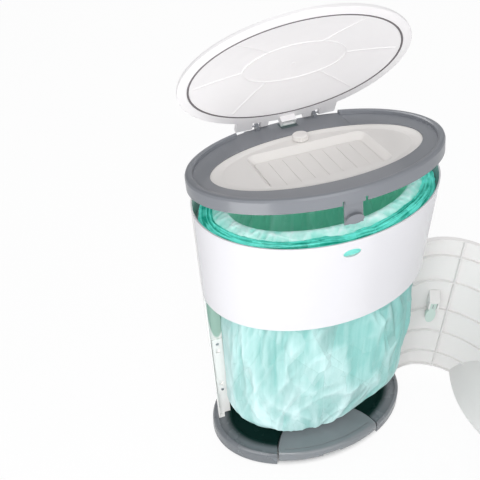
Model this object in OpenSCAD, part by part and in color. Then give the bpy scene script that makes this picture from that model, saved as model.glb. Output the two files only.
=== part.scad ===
// Pedal nappy bin: an oval bin body with a lift-up collar and lid, a side-hung front door,
// a continuous film cassette with its hanging bag, and a foot pedal. Millimetres, +Z up, front at -Y.
// It stands in the pose of the photograph: collar tilted up, lid open and door swung wide.

/* [Body] */
// Width of the body at its rim
rim_w = 413; // [405:1:420]
// Depth of the body at its rim
rim_d = 272; // [266:1:278]
// Height of the rim above the floor
rim_z = 583; // [560:1:620]
// How far the body's sides draw in from the rim to the foot
foot_in = 24; // [20.5:0.5:29]
// How far the body's foot lies in front of its rim, which keeps the front upright
foot_shift = 16; // [12:1:18]
// Wall of the body, the band and the door
wall_t = 2.6; // [2.2:0.1:3.2]
// Height of the fixed band above the door
band_h = 186; // [176:1:196]
// Width of the button window in the band
window_w = 29; // [26:0.5:32]
// Height of the button window in the band
window_h = 16; // [14:0.5:18]
// How far the window's centre lies under the rim
window_drop = 25; // [22:0.5:28]
// Width of the upright returns beside the door opening
return_w = 28; // [26:1:30]
// How far the returns lie behind the door's edge
return_back = 9; // [8:0.5:11]

/* [Base] */
// How far the base stands out past the body's foot at each side
base_side = 11; // [7.5:0.5:17.5]
// How far the base stands out past the body's foot in front and behind
base_front = 8.3; // [6:0.1:13]
// Height of the base at its ridge
base_h = 33; // [32:0.5:36]
// How far the base reaches forward of the body's centre
base_shift = 11.5; // [9:0.5:13]
// Rounding of the base's upper edge
base_round = 11; // [8:0.5:12]
// Wall of the base and the pedal
base_t = 3; // [2.5:0.1:3.5]
// Height of the deck that the body stands on
deck_z = 30; // [29:0.5:31]
// Height of the rubber feet
foot_h = 2.5; // [2:0.25:3]
// Diameter of a rubber foot
foot_dia = 20; // [16:1:22]

/* [Pedal] */
// Radius of the pedal's round side gaps in plan
pedal_r = 108; // [102:1:112]
// How far in front of the body's centre the pedal's round is centred
pedal_fwd = 146; // [143:1:149]
// Gap round the pedal
pedal_gap = 3; // [2.5:0.25:4]
// Height of the pedal's underside above the floor
pedal_z = 15; // [14.5:0.5:16]
// How far behind the pedal's round centre its axle lies
axle_back = 126; // [120:1:132]
// Diameter of the pedal axle
axle_dia = 6; // [5:0.5:7]
// Travel of the pedal in degrees
pedal_travel = 5.5; // [4:0.5:6]

/* [Push rod] */
// Diameter of the lid's push rod
rod_dia = 6; // [5:0.5:7]
// Distance from the rear wall's outside to the rod's axis
rod_in = 13; // [12:0.5:14]

/* [Door] */
// Height of the door above the floor
door_z = 34.8; // [34.6:0.2:36]
// Gap between the door's top edge and the band
door_gap = 3; // [2:0.5:4]
// How far the door's ribs stand in from its wall
rib_in = 6; // [5:0.5:7]
// Thickness of the door's ribs
rib_t = 2.2; // [1.8:0.1:3]
// Door opening in the photographed pose, degrees
door_open = 98; // [60:1:105]
// Distance of the door's hinge pin outside the wall
hinge_out = 7.5; // [7:0.25:8.5]
// Diameter of the door's hinge pins
door_pin = 4; // [3.5:0.25:4.5]
// Outer diameter of the door's hinge knuckles
knuckle_dia = 10; // [9:0.5:11]
// Half width of the toe scoop at the door's lower edge
scoop_w = 123; // [115:1:126]
// How far the toe scoop reaches in from the front wall
scoop_d = 70; // [64:1:72]
// Height of the toe scoop above the door's lower edge
scoop_h = 104; // [96:1:110]

/* [Collar] */
// How far the collar stands out past the rim at each side
collar_side = 3.5; // [3:0.25:5]
// How far the collar stands out past the rim in front and behind
collar_front = 4; // [3.5:0.25:5]
// Height of the collar
collar_h = 24; // [23:0.5:26]
// Shadow gap between the closed collar and the rim
collar_gap = 2.5; // [2:0.25:3.5]
// Wall of the collar
collar_t = 3; // [2.5:0.1:3.2]
// Height of the collar's inner shelf above its lower edge
shelf_h = 17.7; // [17:0.1:18.5]
// Width of the collar's frame beside its opening
frame_side = 36; // [34:0.5:39]
// Width of the collar's frame in front of and behind its opening
frame_front = 50; // [49:0.5:52]
// How far the opening lies in front of the collar's centre
mouth_fwd = 5.4; // [4:0.2:7]
// Collar tilt in the photographed pose, degrees
collar_open = 13.75; // [10:0.25:20]
// How far behind the rim the collar's hinge pin lies
collar_pin_out = 14; // [12:0.5:16]
// How far under the rim the collar's hinge pin lies
collar_pin_drop = 3; // [2:0.5:4]
// Diameter of the collar's hinge pin
collar_pin_dia = 5; // [4:0.5:5]

/* [Hopper] */
// Width of the hopper plate beside its well
well_side = 72; // [70:1:81]
// Width of the hopper plate in front of and behind its well
well_front = 31; // [30:0.5:34]
// How far the well's centre lies in front of the collar's centre
well_fwd = 6.5; // [5:0.5:9]
// How far the well draws in towards the trap door
well_in = 10; // [8:0.5:13]
// Thickness of the trap door
trap_t = 3; // [2.5:0.1:3.5]
// Number of grooves in the trap door
trap_grooves = 7; // [5:1:9]
// Diameter of the knob
knob_dia = 26; // [22:0.5:28]
// Height of the knob
knob_h = 9; // [7:0.5:10]
// Number of hollows round the knob
knob_ribs = 18; // [12:1:24]
// Distance from the well's rear edge to the knob's centre
knob_back = 15.5; // [14.5:0.5:16.5]

/* [Latch] */
// Width of the latch tongue
tongue_w = 30; // [26:0.5:32]
// Thickness of the latch tongue
tongue_t = 2.5; // [2:0.1:3]
// How far the button stands out in front of the tongue
button_out = 6; // [5:0.25:6.5]

/* [Lid] */
// How far the lid lies in from the collar's edge at each side
lid_side = 17.2; // [16:0.2:20]
// How far the lid lies in from the collar's edge in front and behind
lid_front = 12.8; // [11.4:0.2:15]
// Height of the lid's edge
lid_edge = 8; // [7:0.5:10]
// Height of the lid's crown over its underside
lid_crown = 23; // [18:0.5:26]
// Wall of the lid
lid_t = 2.6; // [2.2:0.1:3]
// How far the seal line lies in from the lid's edge at each side
seal_side = 15.8; // [14:0.2:18]
// How far the seal line lies in from the lid's edge in front and behind
seal_front = 16.7; // [15.2:0.1:18.2]
// Lid opening in the photographed pose, degrees from the collar
lid_open = 58.65; // [40:0.05:70]
// How far in from the collar's rear edge the lid's pins lie
lid_pin_in = 4.4; // [4:0.1:5.5]
// Height of the lid's pins above the collar's lower edge
lid_pin_h = 22.6; // [22:0.1:23]
// Diameter of the lid's pins
lid_pin_dia = 3.5; // [3:0.25:4]

/* [Film cassette] */
// How far the cassette lies in from the rim at each side
cassette_side = 11.5; // [10.5:0.5:14.5]
// How far the cassette lies in from the rim in front and behind
cassette_front = 22; // [21:0.5:23]
// Height of the cassette's inner wall
cassette_h = 36; // [32:1:40]
// How far the cassette's outer wall stays below its inner one
cassette_low = 8; // [6:1:12]
// Distance from the cassette's side to its throat
throat_side = 41; // [39:0.5:45]
// Distance from the cassette's front to its throat
throat_front = 30; // [28:0.5:32]
// How far the cassette's centre lies in front of the body's centre
cassette_fwd = 8; // [7:0.5:9]
// Wall of the cassette
cassette_t = 2; // [1.6:0.1:2.4]
// How far the cassette's top lies under the rim
cassette_drop = 8; // [7:0.5:10]
// Thickness of the gathered film's section
stock_dia = 26; // [22:1:27]
// Height of the bag's lowest point
bag_z = 56; // [52:1:66]

/* [Keeper and cutter] */
// Width of the keeper plate
keeper_w = 20; // [18:0.5:22]
// Height of the keeper plate
keeper_h = 164; // [150:1:180]
// Height of the keeper plate's lower end
keeper_z = 100; // [90:1:110]
// Thickness of the keeper plate
keeper_t = 3; // [2.5:0.25:3.5]
// Height of the cutter's pivot
cutter_z = 236; // [228:1:240]
// How far round the door from its hinge the cutter sits, degrees
cutter_at = 19; // [17:0.5:21]
// Length of the cutter's grip below its pivot
cutter_grip = 56; // [48:1:58]

/* [Hidden] */
$fn = 180;
// Reach of a cut that runs past everything
far = 500;
// Gap between pieces that move past each other
run = 0.5;
// Gap between pieces that are fixed side by side
seat = 0.3;
// Radial clearance of a pin in its bore
pin_fit = 0.06;
// Overlap of a boss or rib with the wall that carries it
root = wall_t / 2;

// Outlines that follow from the rim: foot, collar, lid, seal line and cassette
foot_w = rim_w - 2 * foot_in;
collar_w = rim_w + 2 * collar_side;
collar_d = rim_d + 2 * collar_front;
mouth_w = collar_w - 2 * frame_side;
mouth_d = collar_d - 2 * frame_front;
lid_w = collar_w - 2 * lid_side;
lid_d = collar_d - 2 * lid_front;
seal_w = lid_w - 2 * seal_side;
seal_d = lid_d - 2 * seal_front;
cassette_w = rim_w - 2 * cassette_side;
cassette_d = rim_d - 2 * cassette_front;
throat_w = cassette_w - 2 * throat_side;
throat_d = cassette_d - 2 * throat_front;
// Outlines of the well and its trap door
well_w = mouth_w - 2 * well_side;
well_d = mouth_d - 2 * well_front;
trap_w = well_w - 2 * well_in;
trap_d = well_d - 2 * well_in;
knob_y = well_d / 2 - well_fwd + knob_back;
// Hinge lines of the collar and the lid
collar_pin_y = rim_d / 2 + collar_pin_out;
lid_pin_y = collar_d / 2 - lid_pin_in;

// Sideways lean of the body's walls per millimetre of height
lean = (rim_w - foot_w) / 2 / (rim_z - deck_z);
lean_deg = atan(lean);
// Oval of the body, and its shift to the front per millimetre down
press = rim_d / rim_w;
shift = foot_shift / (rim_z - deck_z);
// Lean of the rear wall
rear_lean = lean * press + shift;
rear_deg = atan(rear_lean);
band_z = rim_z - band_h;
door_top = band_z - door_gap;
window_z = rim_z - window_drop;
foot_d = foot_w * press;
base_w = foot_w + 2 * base_side;
base_d = foot_d + 2 * base_front;
// Inward lip at the body's foot
foot_lip = 9;
lip_t = 2.5;
// Gap round the foot and depth of the base's inner floor
deck_gap = 0.5;
recess_in = 26;
recess_depth = 4;

function half_w(z) = foot_w / 2 + (z - deck_z) * lean;
function half_d(z) = half_w(z) * press;
function mid_y(z) = (z - rim_z) * shift;
// Half width of the body at height z, measured at y
function half_w_at(y, z) = half_w(z) * sqrt(1 - pow((y - mid_y(z)) / half_d(z), 2));

// An upright oval prism
module oval(w, d, h) { scale([1, d / w, 1]) cylinder(h = h, d = w); }

// A turned profile pressed into an oval
module oval_turn(w, d) { scale([1, d / w, 1]) rotate_extrude() children(); }

// A turned profile pressed and shifted as the body is, begun at the given angle
module body_turn(begin = 90) {
    multmatrix([[1, 0, 0, 0], [0, press, shift, -shift * rim_z], [0, 0, 1, 0]])
        rotate([0, 0, begin]) rotate_extrude() children();
}

// The two ends of a wall at one inset, for body_turn
function wall_line(inset, z0, z1) = [[half_w(z0) - inset, z0], [half_w(z1) - inset, z1]];

// Everything in front of y, to cut with
module in_front(y) { translate([-far, y - 2 * far, -far]) cube([2 * far, 2 * far, 3 * far]); }

// Everything behind y, to cut with
module behind(y) { translate([-far, y, -far]) cube([2 * far, 2 * far, 3 * far]); }

// A rod along X, centred
module rod_x(d, len) { rotate([0, 90, 0]) cylinder(h = len, d = d, center = true); }

// A flat rectangle with round corners, centred
module round_rect(w, d, r) {
    square([w - 2 * r, d], center = true);
    square([w, d - 2 * r], center = true);
    for (x = [-1, 1], y = [-1, 1])
        translate([x * (w / 2 - r), y * (d / 2 - r)]) circle(r);
}

// Points of a quarter round from straight out to straight up
function quarter(x, z, r, steps = 6) =
    [for (i = [0 : steps]) [x + r * cos(90 * i / steps), z + r * sin(90 * i / steps)]];

// Base

module base_place() { translate([0, -base_shift, 0]) children(); }

// The outside of the base and pedal, from z0 up
module base_solid(z0) {
    r = base_w / 2;
    base_place() oval_turn(base_w, base_d)
        polygon(concat([[0, z0], [r, z0]],
            quarter(r - base_round, base_h - base_round, base_round), [[0, base_h]]));
}

// The round plan of the pedal, grown by grow
module pedal_round(grow, z0, z1) {
    translate([0, -pedal_fwd, z0]) cylinder(h = z1 - z0, r = pedal_r + grow);
}

axle_y = axle_back - pedal_fwd;
axle_z = pedal_z;
cheek_x = 32;
cheek_t = 8;
deck_under = deck_z - recess_depth - base_t;

module base_tray() color("slategray") {
    r = base_w / 2;
    difference() {
        union() {
            difference() {
                base_solid(foot_h);
                base_place() oval_turn(base_w, base_d)
                    polygon([[0, -1], [r - base_t, -1], [r - base_t, base_h - base_round],
                        [r - base_round, deck_under], [0, deck_under]]);
                pedal_round(0, 0, base_h + 1);
            }
            // wall round the pedal's recess
            intersection() {
                base_solid(foot_h);
                difference() {
                    pedal_round(base_t, 0, deck_under + 1);
                    pedal_round(0, -1, base_h);
                }
            }
            // cheeks that hold the axle
            for (s = [-1, 1])
                translate([s * (cheek_x + cheek_t / 2) - cheek_t / 2, axle_y - 8, foot_h + 3])
                    cube([cheek_t, 16, deck_under + 1 - foot_h - 3]);
            // pads over the feet
            for (p = foot_places) translate([p[0], p[1], foot_h])
                cylinder(h = deck_under + 1 - foot_h, d = foot_dia - 6);
        }
        // seat of the body and the deeper floor inside it
        translate([0, -foot_shift, deck_z]) oval(foot_w + 2 * deck_gap, foot_d + 2 * deck_gap, base_h);
        translate([0, -foot_shift, deck_z - recess_depth])
            oval(foot_w - 2 * recess_in, foot_d - 2 * recess_in, base_h);
        // way of the lever through the recess wall
        translate([-lever_w / 2 - 2, -far, -1])
            cube([lever_w + 4, far + axle_y - 8, deck_under + 1]);
        translate([0, axle_y, axle_z]) rod_x(axle_dia + 2 * pin_fit, 2 * (cheek_x + cheek_t) + 2);
        // way of the push rod through the deck
        translate([0, rod_y(deck_z), 0]) cylinder(h = base_h + 1, d = rod_dia + 5);
    }
}

// Four feet at the corners and one under the middle
foot_x = base_w * 0.33;
foot_fy = base_d * 0.27;
foot_places = [[0, 0], [foot_x, foot_fy - base_shift], [-foot_x, foot_fy - base_shift],
    [foot_x, -foot_fy - base_shift], [-foot_x, -foot_fy - base_shift]];

module base_feet() color("dimgray")
    for (p = foot_places) translate([p[0], p[1], 0]) cylinder(h = foot_h, d = foot_dia);

// Body shell, band and door opening

// Steps from the body's foot to the hinge ears behind the rim
ear_x = 46;
ear_t = 10;
ear_d = 12;
ear_root_y = rim_d / 2 * sqrt(1 - pow((ear_x + ear_t) / (rim_w / 2), 2)) - 2;
collar_z = rim_z + collar_gap;
collar_pin_z = rim_z - collar_pin_drop;
knuckle_l = 15;
// Distance from the door's ends to its hinges
hinge_end = 46;
hinge_zs = [door_z + hinge_end, door_top - hinge_end];

// Places children on the door's hinge line, with their Z along it
module on_hinge(z) {
    translate([half_w(z) + hinge_out, 0, z]) rotate([0, lean_deg, 0]) children();
}

// A hinge knuckle with its web, on side s of the parting plane
module knuckle(s, z0) {
    translate([0, 0, z0]) {
        cylinder(h = knuckle_l, d = knuckle_dia);
        translate([-hinge_out - wall_t - seat, s > 0 ? run * 3 : -knuckle_dia / 2, 0])
            cube([hinge_out + wall_t + seat, knuckle_dia / 2 - run * 3, knuckle_l]);
    }
}

module keeper_place() {
    mid = keeper_z + keeper_h / 2;
    translate([-half_w(mid) + return_w - keeper_w / 2 - 2, return_back, mid])
        rotate([0, -lean_deg, 0]) children();
}

// An upright return of the door opening: a plate that leans with the wall and ends inside it
module side_return(s) {
    z0 = deck_z + lip_t / 2;
    z1 = band_z + 12;
    back = return_back + lip_t;
    mirror([s, 0, 0]) translate([0, back, 0]) rotate([90, 0, 0]) linear_extrude(lip_t)
        polygon([[half_w_at(back, z0) - root, z0], [half_w_at(back, z1) - root, z1],
            [half_w(z1) - return_w, z1], [half_w(z0) - return_w, z0]]);
}

module rear_shell() color("whitesmoke") {
    difference() {
        union() {
            difference() {
                body_turn(-90) polygon(concat(
                    [[half_w(deck_z) - wall_t - foot_lip, deck_z]], wall_line(0, deck_z, rim_z),
                    wall_line(wall_t, rim_z, deck_z + lip_t),
                    [[half_w(deck_z) - wall_t - foot_lip, deck_z + lip_t]]));
                in_front(0);
            }
            for (s = [0, 1]) side_return(s);
            // hinge knuckles of the door
            for (z = hinge_zs) on_hinge(z) knuckle(1, -knuckle_l / 2);
            // hinge ears of the collar
            for (s = [-1, 1]) translate([s * (ear_x + ear_t / 2), 0, 0]) {
                translate([0, collar_pin_y, collar_pin_z]) rod_x(ear_d, ear_t);
                translate([-ear_t / 2, ear_root_y, collar_pin_z - ear_d * 1.5])
                    cube([ear_t, collar_pin_y - ear_root_y, rim_z - collar_pin_z + ear_d * 1.5 - 1]);
            }
        }
        for (z = hinge_zs) on_hinge(z)
            translate([0, 0, -knuckle_l]) cylinder(h = 2 * knuckle_l, d = door_pin + 2 * pin_fit);
        translate([0, collar_pin_y, collar_pin_z])
            rod_x(collar_pin_dia + 2 * pin_fit, 2 * (ear_x + ear_t) + 2);
        // holes for the keeper's screws
        keeper_place() keeper_holes(screw_dia);
    }
}

module front_band() color("white") {
    difference() {
        body_turn() polygon(concat(wall_line(0, band_z, rim_z), wall_line(wall_t, rim_z, band_z + lip_t),
            [[half_w(band_z) - wall_t - 4, band_z + lip_t], [half_w(band_z) - wall_t - 4, band_z]]));
        behind(0);
        translate([0, -rim_d / 2 - 10, window_z]) rotate([-90, 0, 0]) oval(window_w, window_h, 30);
    }
}

// Film cassette

cassette_top = rim_z - cassette_drop;
cassette_z = cassette_top - cassette_h;
ring_t = 4;

module cassette_place() { translate([0, -cassette_fwd, 0]) children(); }

module support_ring() color("whitesmoke") {
    z0 = cassette_z - ring_t;
    hole_r = throat_w / 2 + 4;
    difference() {
        body_turn() polygon(concat([[hole_r, cassette_z], [hole_r, z0]],
            wall_line(wall_t + seat + 2, z0, z0 - 12), wall_line(wall_t + seat, z0 - 12, cassette_z)));
        translate([0, rod_y(z0), z0 - 1]) cylinder(h = ring_t + 2, d = rod_dia + 4);
    }
}

module liner_cassette() color("mediumaquamarine") {
    cassette_place() translate([0, 0, cassette_z]) difference() {
        union() {
            difference() {
                oval(cassette_w, cassette_d, cassette_h - cassette_low);
                translate([0, 0, cassette_t])
                    oval(cassette_w - 2 * cassette_t, cassette_d - 2 * cassette_t, cassette_h);
            }
            oval(throat_w + 2 * cassette_t, throat_d + 2 * cassette_t, cassette_h);
        }
        translate([0, 0, -1]) oval(throat_w, throat_d, cassette_h + 2);
    }
}

module liner_stock() color("turquoise") {
    mid_w = (cassette_w + throat_w) / 2;
    mid_d = (cassette_d + throat_d) / 2;
    cassette_place() translate([0, 0, cassette_z + cassette_t + seat + stock_dia / 2])
        oval_turn(mid_w, mid_d) translate([mid_w / 2, 0]) circle(d = stock_dia);
}

// Film bag: height over its lowest point, shares of the body's half width and depth, and middle
bag_steps = [[0, 0.13, 0.15, -6], [7, 0.38, 0.41, -2], [26, 0.56, 0.57, 5], [62, 0.69, 0.68, 4],
    [110, 0.76, 0.71, 3], [190, 0.8, 0.76, 0], [290, 0.8, 0.76, -2], [341, 0.8, 0.75, -3],
    [cassette_z - bag_z - 60, 0.78, 0.72, -6]];
// Its outlines, the last two hung from the throat
bag_levels = concat(
    [for (s = bag_steps) let (z = bag_z + s[0]) [z, half_w(z) * s[1], half_d(z) * s[2], s[3]]],
    [for (z = [cassette_z - 10, cassette_top + 1])
        [z, throat_w / 2 - 1, throat_d / 2 - 1, -cassette_fwd]]);
bag_t = 1.6;
bag_sides = 40;

// A closed tube of film with a bottom and an open top
module bag_solid() {
    n = bag_sides;
    m = len(bag_levels);
    outer = [for (l = bag_levels) for (i = [0 : n - 1])
        [l[1] * cos(360 * i / n), l[3] + l[2] * sin(360 * i / n), l[0]]];
    inner = [for (j = [0 : m - 1]) let (l = bag_levels[j]) for (i = [0 : n - 1])
        [(l[1] - bag_t) * cos(360 * i / n), l[3] + (l[2] - bag_t) * sin(360 * i / n),
            j == 0 ? l[0] + bag_t : l[0]]];
    k = m * n;
    polyhedron(points = concat(outer, inner), faces = concat(
        [for (j = [0 : m - 2]) for (i = [0 : n - 1]) let (a = j * n + i, b = j * n + (i + 1) % n)
            each [[a, b + n, b], [a, a + n, b + n]]],
        [for (j = [0 : m - 2]) for (i = [0 : n - 1]) let (a = k + j * n + i, b = k + j * n + (i + 1) % n)
            each [[a, b, b + n], [a, b + n, a + n]]],
        [for (i = [0 : n - 1]) let (a = (m - 1) * n + i, b = (m - 1) * n + (i + 1) % n)
            each [[a, k + a, k + b], [a, k + b, b]]],
        [for (i = [1 : n - 2]) [0, i, i + 1]],
        [for (i = [1 : n - 2]) [k, k + i + 1, k + i]]));
}

module liner_bag() color("paleturquoise") bag_solid();

// Keeper plate for the door's catches, with its screws

screw_dia = 3;
screw_head = 6;
keeper_screw_at = 0.42;
catch_at = 0.3;
catch_w = 5;
catch_h = 10;

module keeper_holes(d) {
    for (s = [-1, 1]) translate([0, -far / 20, s * keeper_h * keeper_screw_at])
        rotate([-90, 0, 0]) cylinder(h = far / 10, d = d, $fn = 32);
}

module keeper_plate() color("white") keeper_place() difference() {
    translate([-keeper_w / 2, -keeper_t, -keeper_h / 2]) cube([keeper_w, keeper_t, keeper_h]);
    keeper_holes(screw_dia + 0.2);
    for (s = [-1, 1]) translate([-catch_w / 2 - 1, -far / 20, s * keeper_h * catch_at - catch_h / 2 - 1.5])
        cube([catch_w + 2, far / 10, catch_h + 3]);
}

module keeper_screws() color("silver") keeper_place()
    for (s = [-1, 1]) translate([0, 0, s * keeper_h * keeper_screw_at]) rotate([90, 0, 0]) {
        translate([0, 0, keeper_t]) difference() {
            cylinder(h = 1.8, d1 = screw_head, d2 = screw_head - 1.5, $fn = 32);
            for (a = [0, 90]) rotate([0, 0, a]) translate([-2, -0.4, 1]) cube([4, 0.8, 1]);
        }
        translate([0, 0, -5]) cylinder(h = 5 + keeper_t, d = screw_dia - 0.1, $fn = 32);
    }

// Push rod with its guides

function rod_y(z) = half_d(z) + mid_y(z) - rod_in;
lever_w = 34;
lever_arm_t = 5;
lever_low = 4;
lever_h = 5.5;
rod_z0 = lever_low + lever_h + seat;
rod_stroke = (rod_y(deck_z) - axle_y) * tan(pedal_travel);
drive_h = 8;
cap_h = 8;
rod_top = collar_z + drive_h - rod_stroke - run - cap_h;
guide_zs = [for (s = [0.18, 0.5, 0.92]) deck_z + (cassette_z - deck_z) * s];
guide_w = 20;
guide_h = 14;

// Places children on the rod's leaning axis at height z, with their Z along it
module on_rod(z) { translate([0, rod_y(z), z]) rotate([-rear_deg, 0, 0]) children(); }

module push_rod() color("silver") on_rod(rod_z0) {
    len = (rod_top - rod_z0) / cos(rear_deg);
    translate([0, 0, rod_dia / 2]) cylinder(h = len - rod_dia / 2, d = rod_dia);
    translate([0, 0, rod_dia / 2]) sphere(d = rod_dia);
}

module rod_cap() color("dimgray") on_rod(rod_top) cylinder(h = cap_h, d = rod_dia + 4);

module rod_guides() color("white")
    for (z = guide_zs) on_rod(z) difference() {
        translate([-guide_w / 2, -rod_dia, -guide_h / 2])
            cube([guide_w, rod_dia + rod_in - wall_t * press - 1.2, guide_h]);
        translate([0, 0, -guide_h]) cylinder(h = 2 * guide_h, d = rod_dia + 0.6);
    }

// Pedal, its axle, lever and spring

module pedal_axle() color("silver")
    translate([0, axle_y, axle_z]) rod_x(axle_dia, 2 * (cheek_x + cheek_t));

boss_x = 20;
// Reach of the lever's front arms
pedal_arm = 76;
boss_y = [axle_y - pedal_arm * 0.53, axle_y - pedal_arm];

module pedal() color("slategray") {
    r = base_w / 2;
    difference() {
        intersection() {
            base_solid(pedal_z);
            pedal_round(-pedal_gap, 0, base_h + 1);
        }
        // hollow underside, drawn in by the wall
        intersection() {
            base_place() oval_turn(base_w, base_d)
                polygon([[0, 0], [r - base_t * 1.5, 0], [r - base_t * 1.5, base_h - base_round],
                    [r - base_round, base_h - base_t], [0, base_h - base_t]]);
            pedal_round(-pedal_gap - base_t, 0, base_h + 1);
        }
        // way of the lever through the rear wall
        translate([-lever_w / 2 - 1, axle_y - far / 4, 0])
            cube([lever_w + 2, far / 4, axle_z + lever_h / 2 + 1]);
        // two tread lines that follow the front edge
        for (i = [0, 1]) intersection() {
            translate([0, -foot_shift, base_h - 0.8]) difference() {
                oval(foot_w + 2 - 20 * i, foot_d + 2 - 20 * i, 2);
                translate([0, 0, -1]) oval(foot_w - 1 - 20 * i, foot_d - 1 - 20 * i, 4);
            }
            translate([-pedal_r + 22, -far, 0]) cube([2 * pedal_r - 44, far, far]);
        }
    }
    // bosses that stand on the lever
    for (y = boss_y, s = [-1, 1]) translate([s * boss_x / 2, y, axle_z + lever_h / 2])
        cylinder(h = base_h - base_t / 2 - axle_z - lever_h / 2, d = 8, $fn = 32);
}

module pedal_lever() color("gray") {
    hub = 13;
    rear = rod_y(deck_z) + 7;
    difference() {
        union() {
            translate([0, axle_y, axle_z]) rod_x(hub, lever_w);
            // front arms under the pedal
            for (s = [-1, 1]) translate([s * boss_x / 2 - lever_arm_t, boss_y[1] - 5, axle_z - lever_h / 2])
                cube([2 * lever_arm_t, axle_y - boss_y[1] + 5, lever_h]);
            // rear arms, past the middle foot
            for (x = [-lever_w / 2, lever_w / 2 - lever_arm_t]) translate([x, 0, lever_low]) {
                translate([0, axle_y, 0]) cube([lever_arm_t, rear - axle_y, lever_h]);
                translate([0, axle_y - 4, 0]) cube([lever_arm_t, 8, axle_z - lever_low]);
            }
            // cross pad under the rod
            translate([-lever_w / 2, rear - 14, lever_low]) cube([lever_w, 14, lever_h]);
        }
        translate([0, axle_y, axle_z]) rod_x(axle_dia + 2 * pin_fit, lever_w + 2);
    }
}

// A wound spring along X round the axle, as one tube
module coil(d, wire, turns, pitch) {
    n = 12;
    sides = 6;
    rings = turns * n;
    pts = [for (i = [0 : rings]) let (a = 360 * i / n) for (j = [0 : sides - 1])
        let (b = 360 * j / sides, rr = d / 2 + wire / 2 * cos(b))
            [pitch * i / n + wire / 2 * sin(b), rr * cos(a), rr * sin(a)]];
    polyhedron(points = pts, faces = concat(
        [for (i = [0 : rings - 1]) for (j = [0 : sides - 1])
            let (p = i * sides + j, q = i * sides + (j + 1) % sides)
                each [[p, q, q + sides], [p, q + sides, p + sides]]],
        [[for (j = [sides - 1 : -1 : 0]) j]],
        [[for (j = [0 : sides - 1]) rings * sides + j]]));
}

module pedal_spring() color("silver")
    translate([lever_w / 2 + 2.5, axle_y, axle_z]) coil(axle_dia + 3, 1.4, 5, 2.1);

// Collar. Its pieces are drawn closed, then tilted about the pin behind the rim

// Turns children up by a about a line along X through y and z
module tilt(y, z, a) { translate([0, y, z]) rotate([-a, 0, 0]) translate([0, -y, -z]) children(); }

module at_collar() { tilt(collar_pin_y, collar_pin_z, collar_open) children(); }

// Places children from the collar's lower edge up
module collar_up(h = 0) { translate([0, 0, collar_z + h]) children(); }

bead_w = 13;
bead_r = 5;
hinge_gap_w = 182;
seat_h = shelf_h - 0.6;
drive_w = 26;
drive_d = 13;
drive_y = lid_pin_y - 9;
lid_ear_x = 48;
lid_ear_t = 6;
lid_ear_r = 4;
arm_x = ear_x + ear_t + 1;
arm_t = 10;

module mouth(grow, h0, h1) {
    translate([0, -mouth_fwd, collar_z + h0]) oval(mouth_w + 2 * grow, mouth_d + 2 * grow, h1 - h0);
}

ledge_h = 9;
ledge_t = 2.5;
ledge_w = 5;
// Screws that hold the hopper plate down on the ledge
screw_places = [for (a = [30, 150, 210, 330])
    [(mouth_w - ledge_w) / 2 * cos(a), (mouth_d - ledge_w) / 2 * sin(a) - mouth_fwd]];

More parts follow.
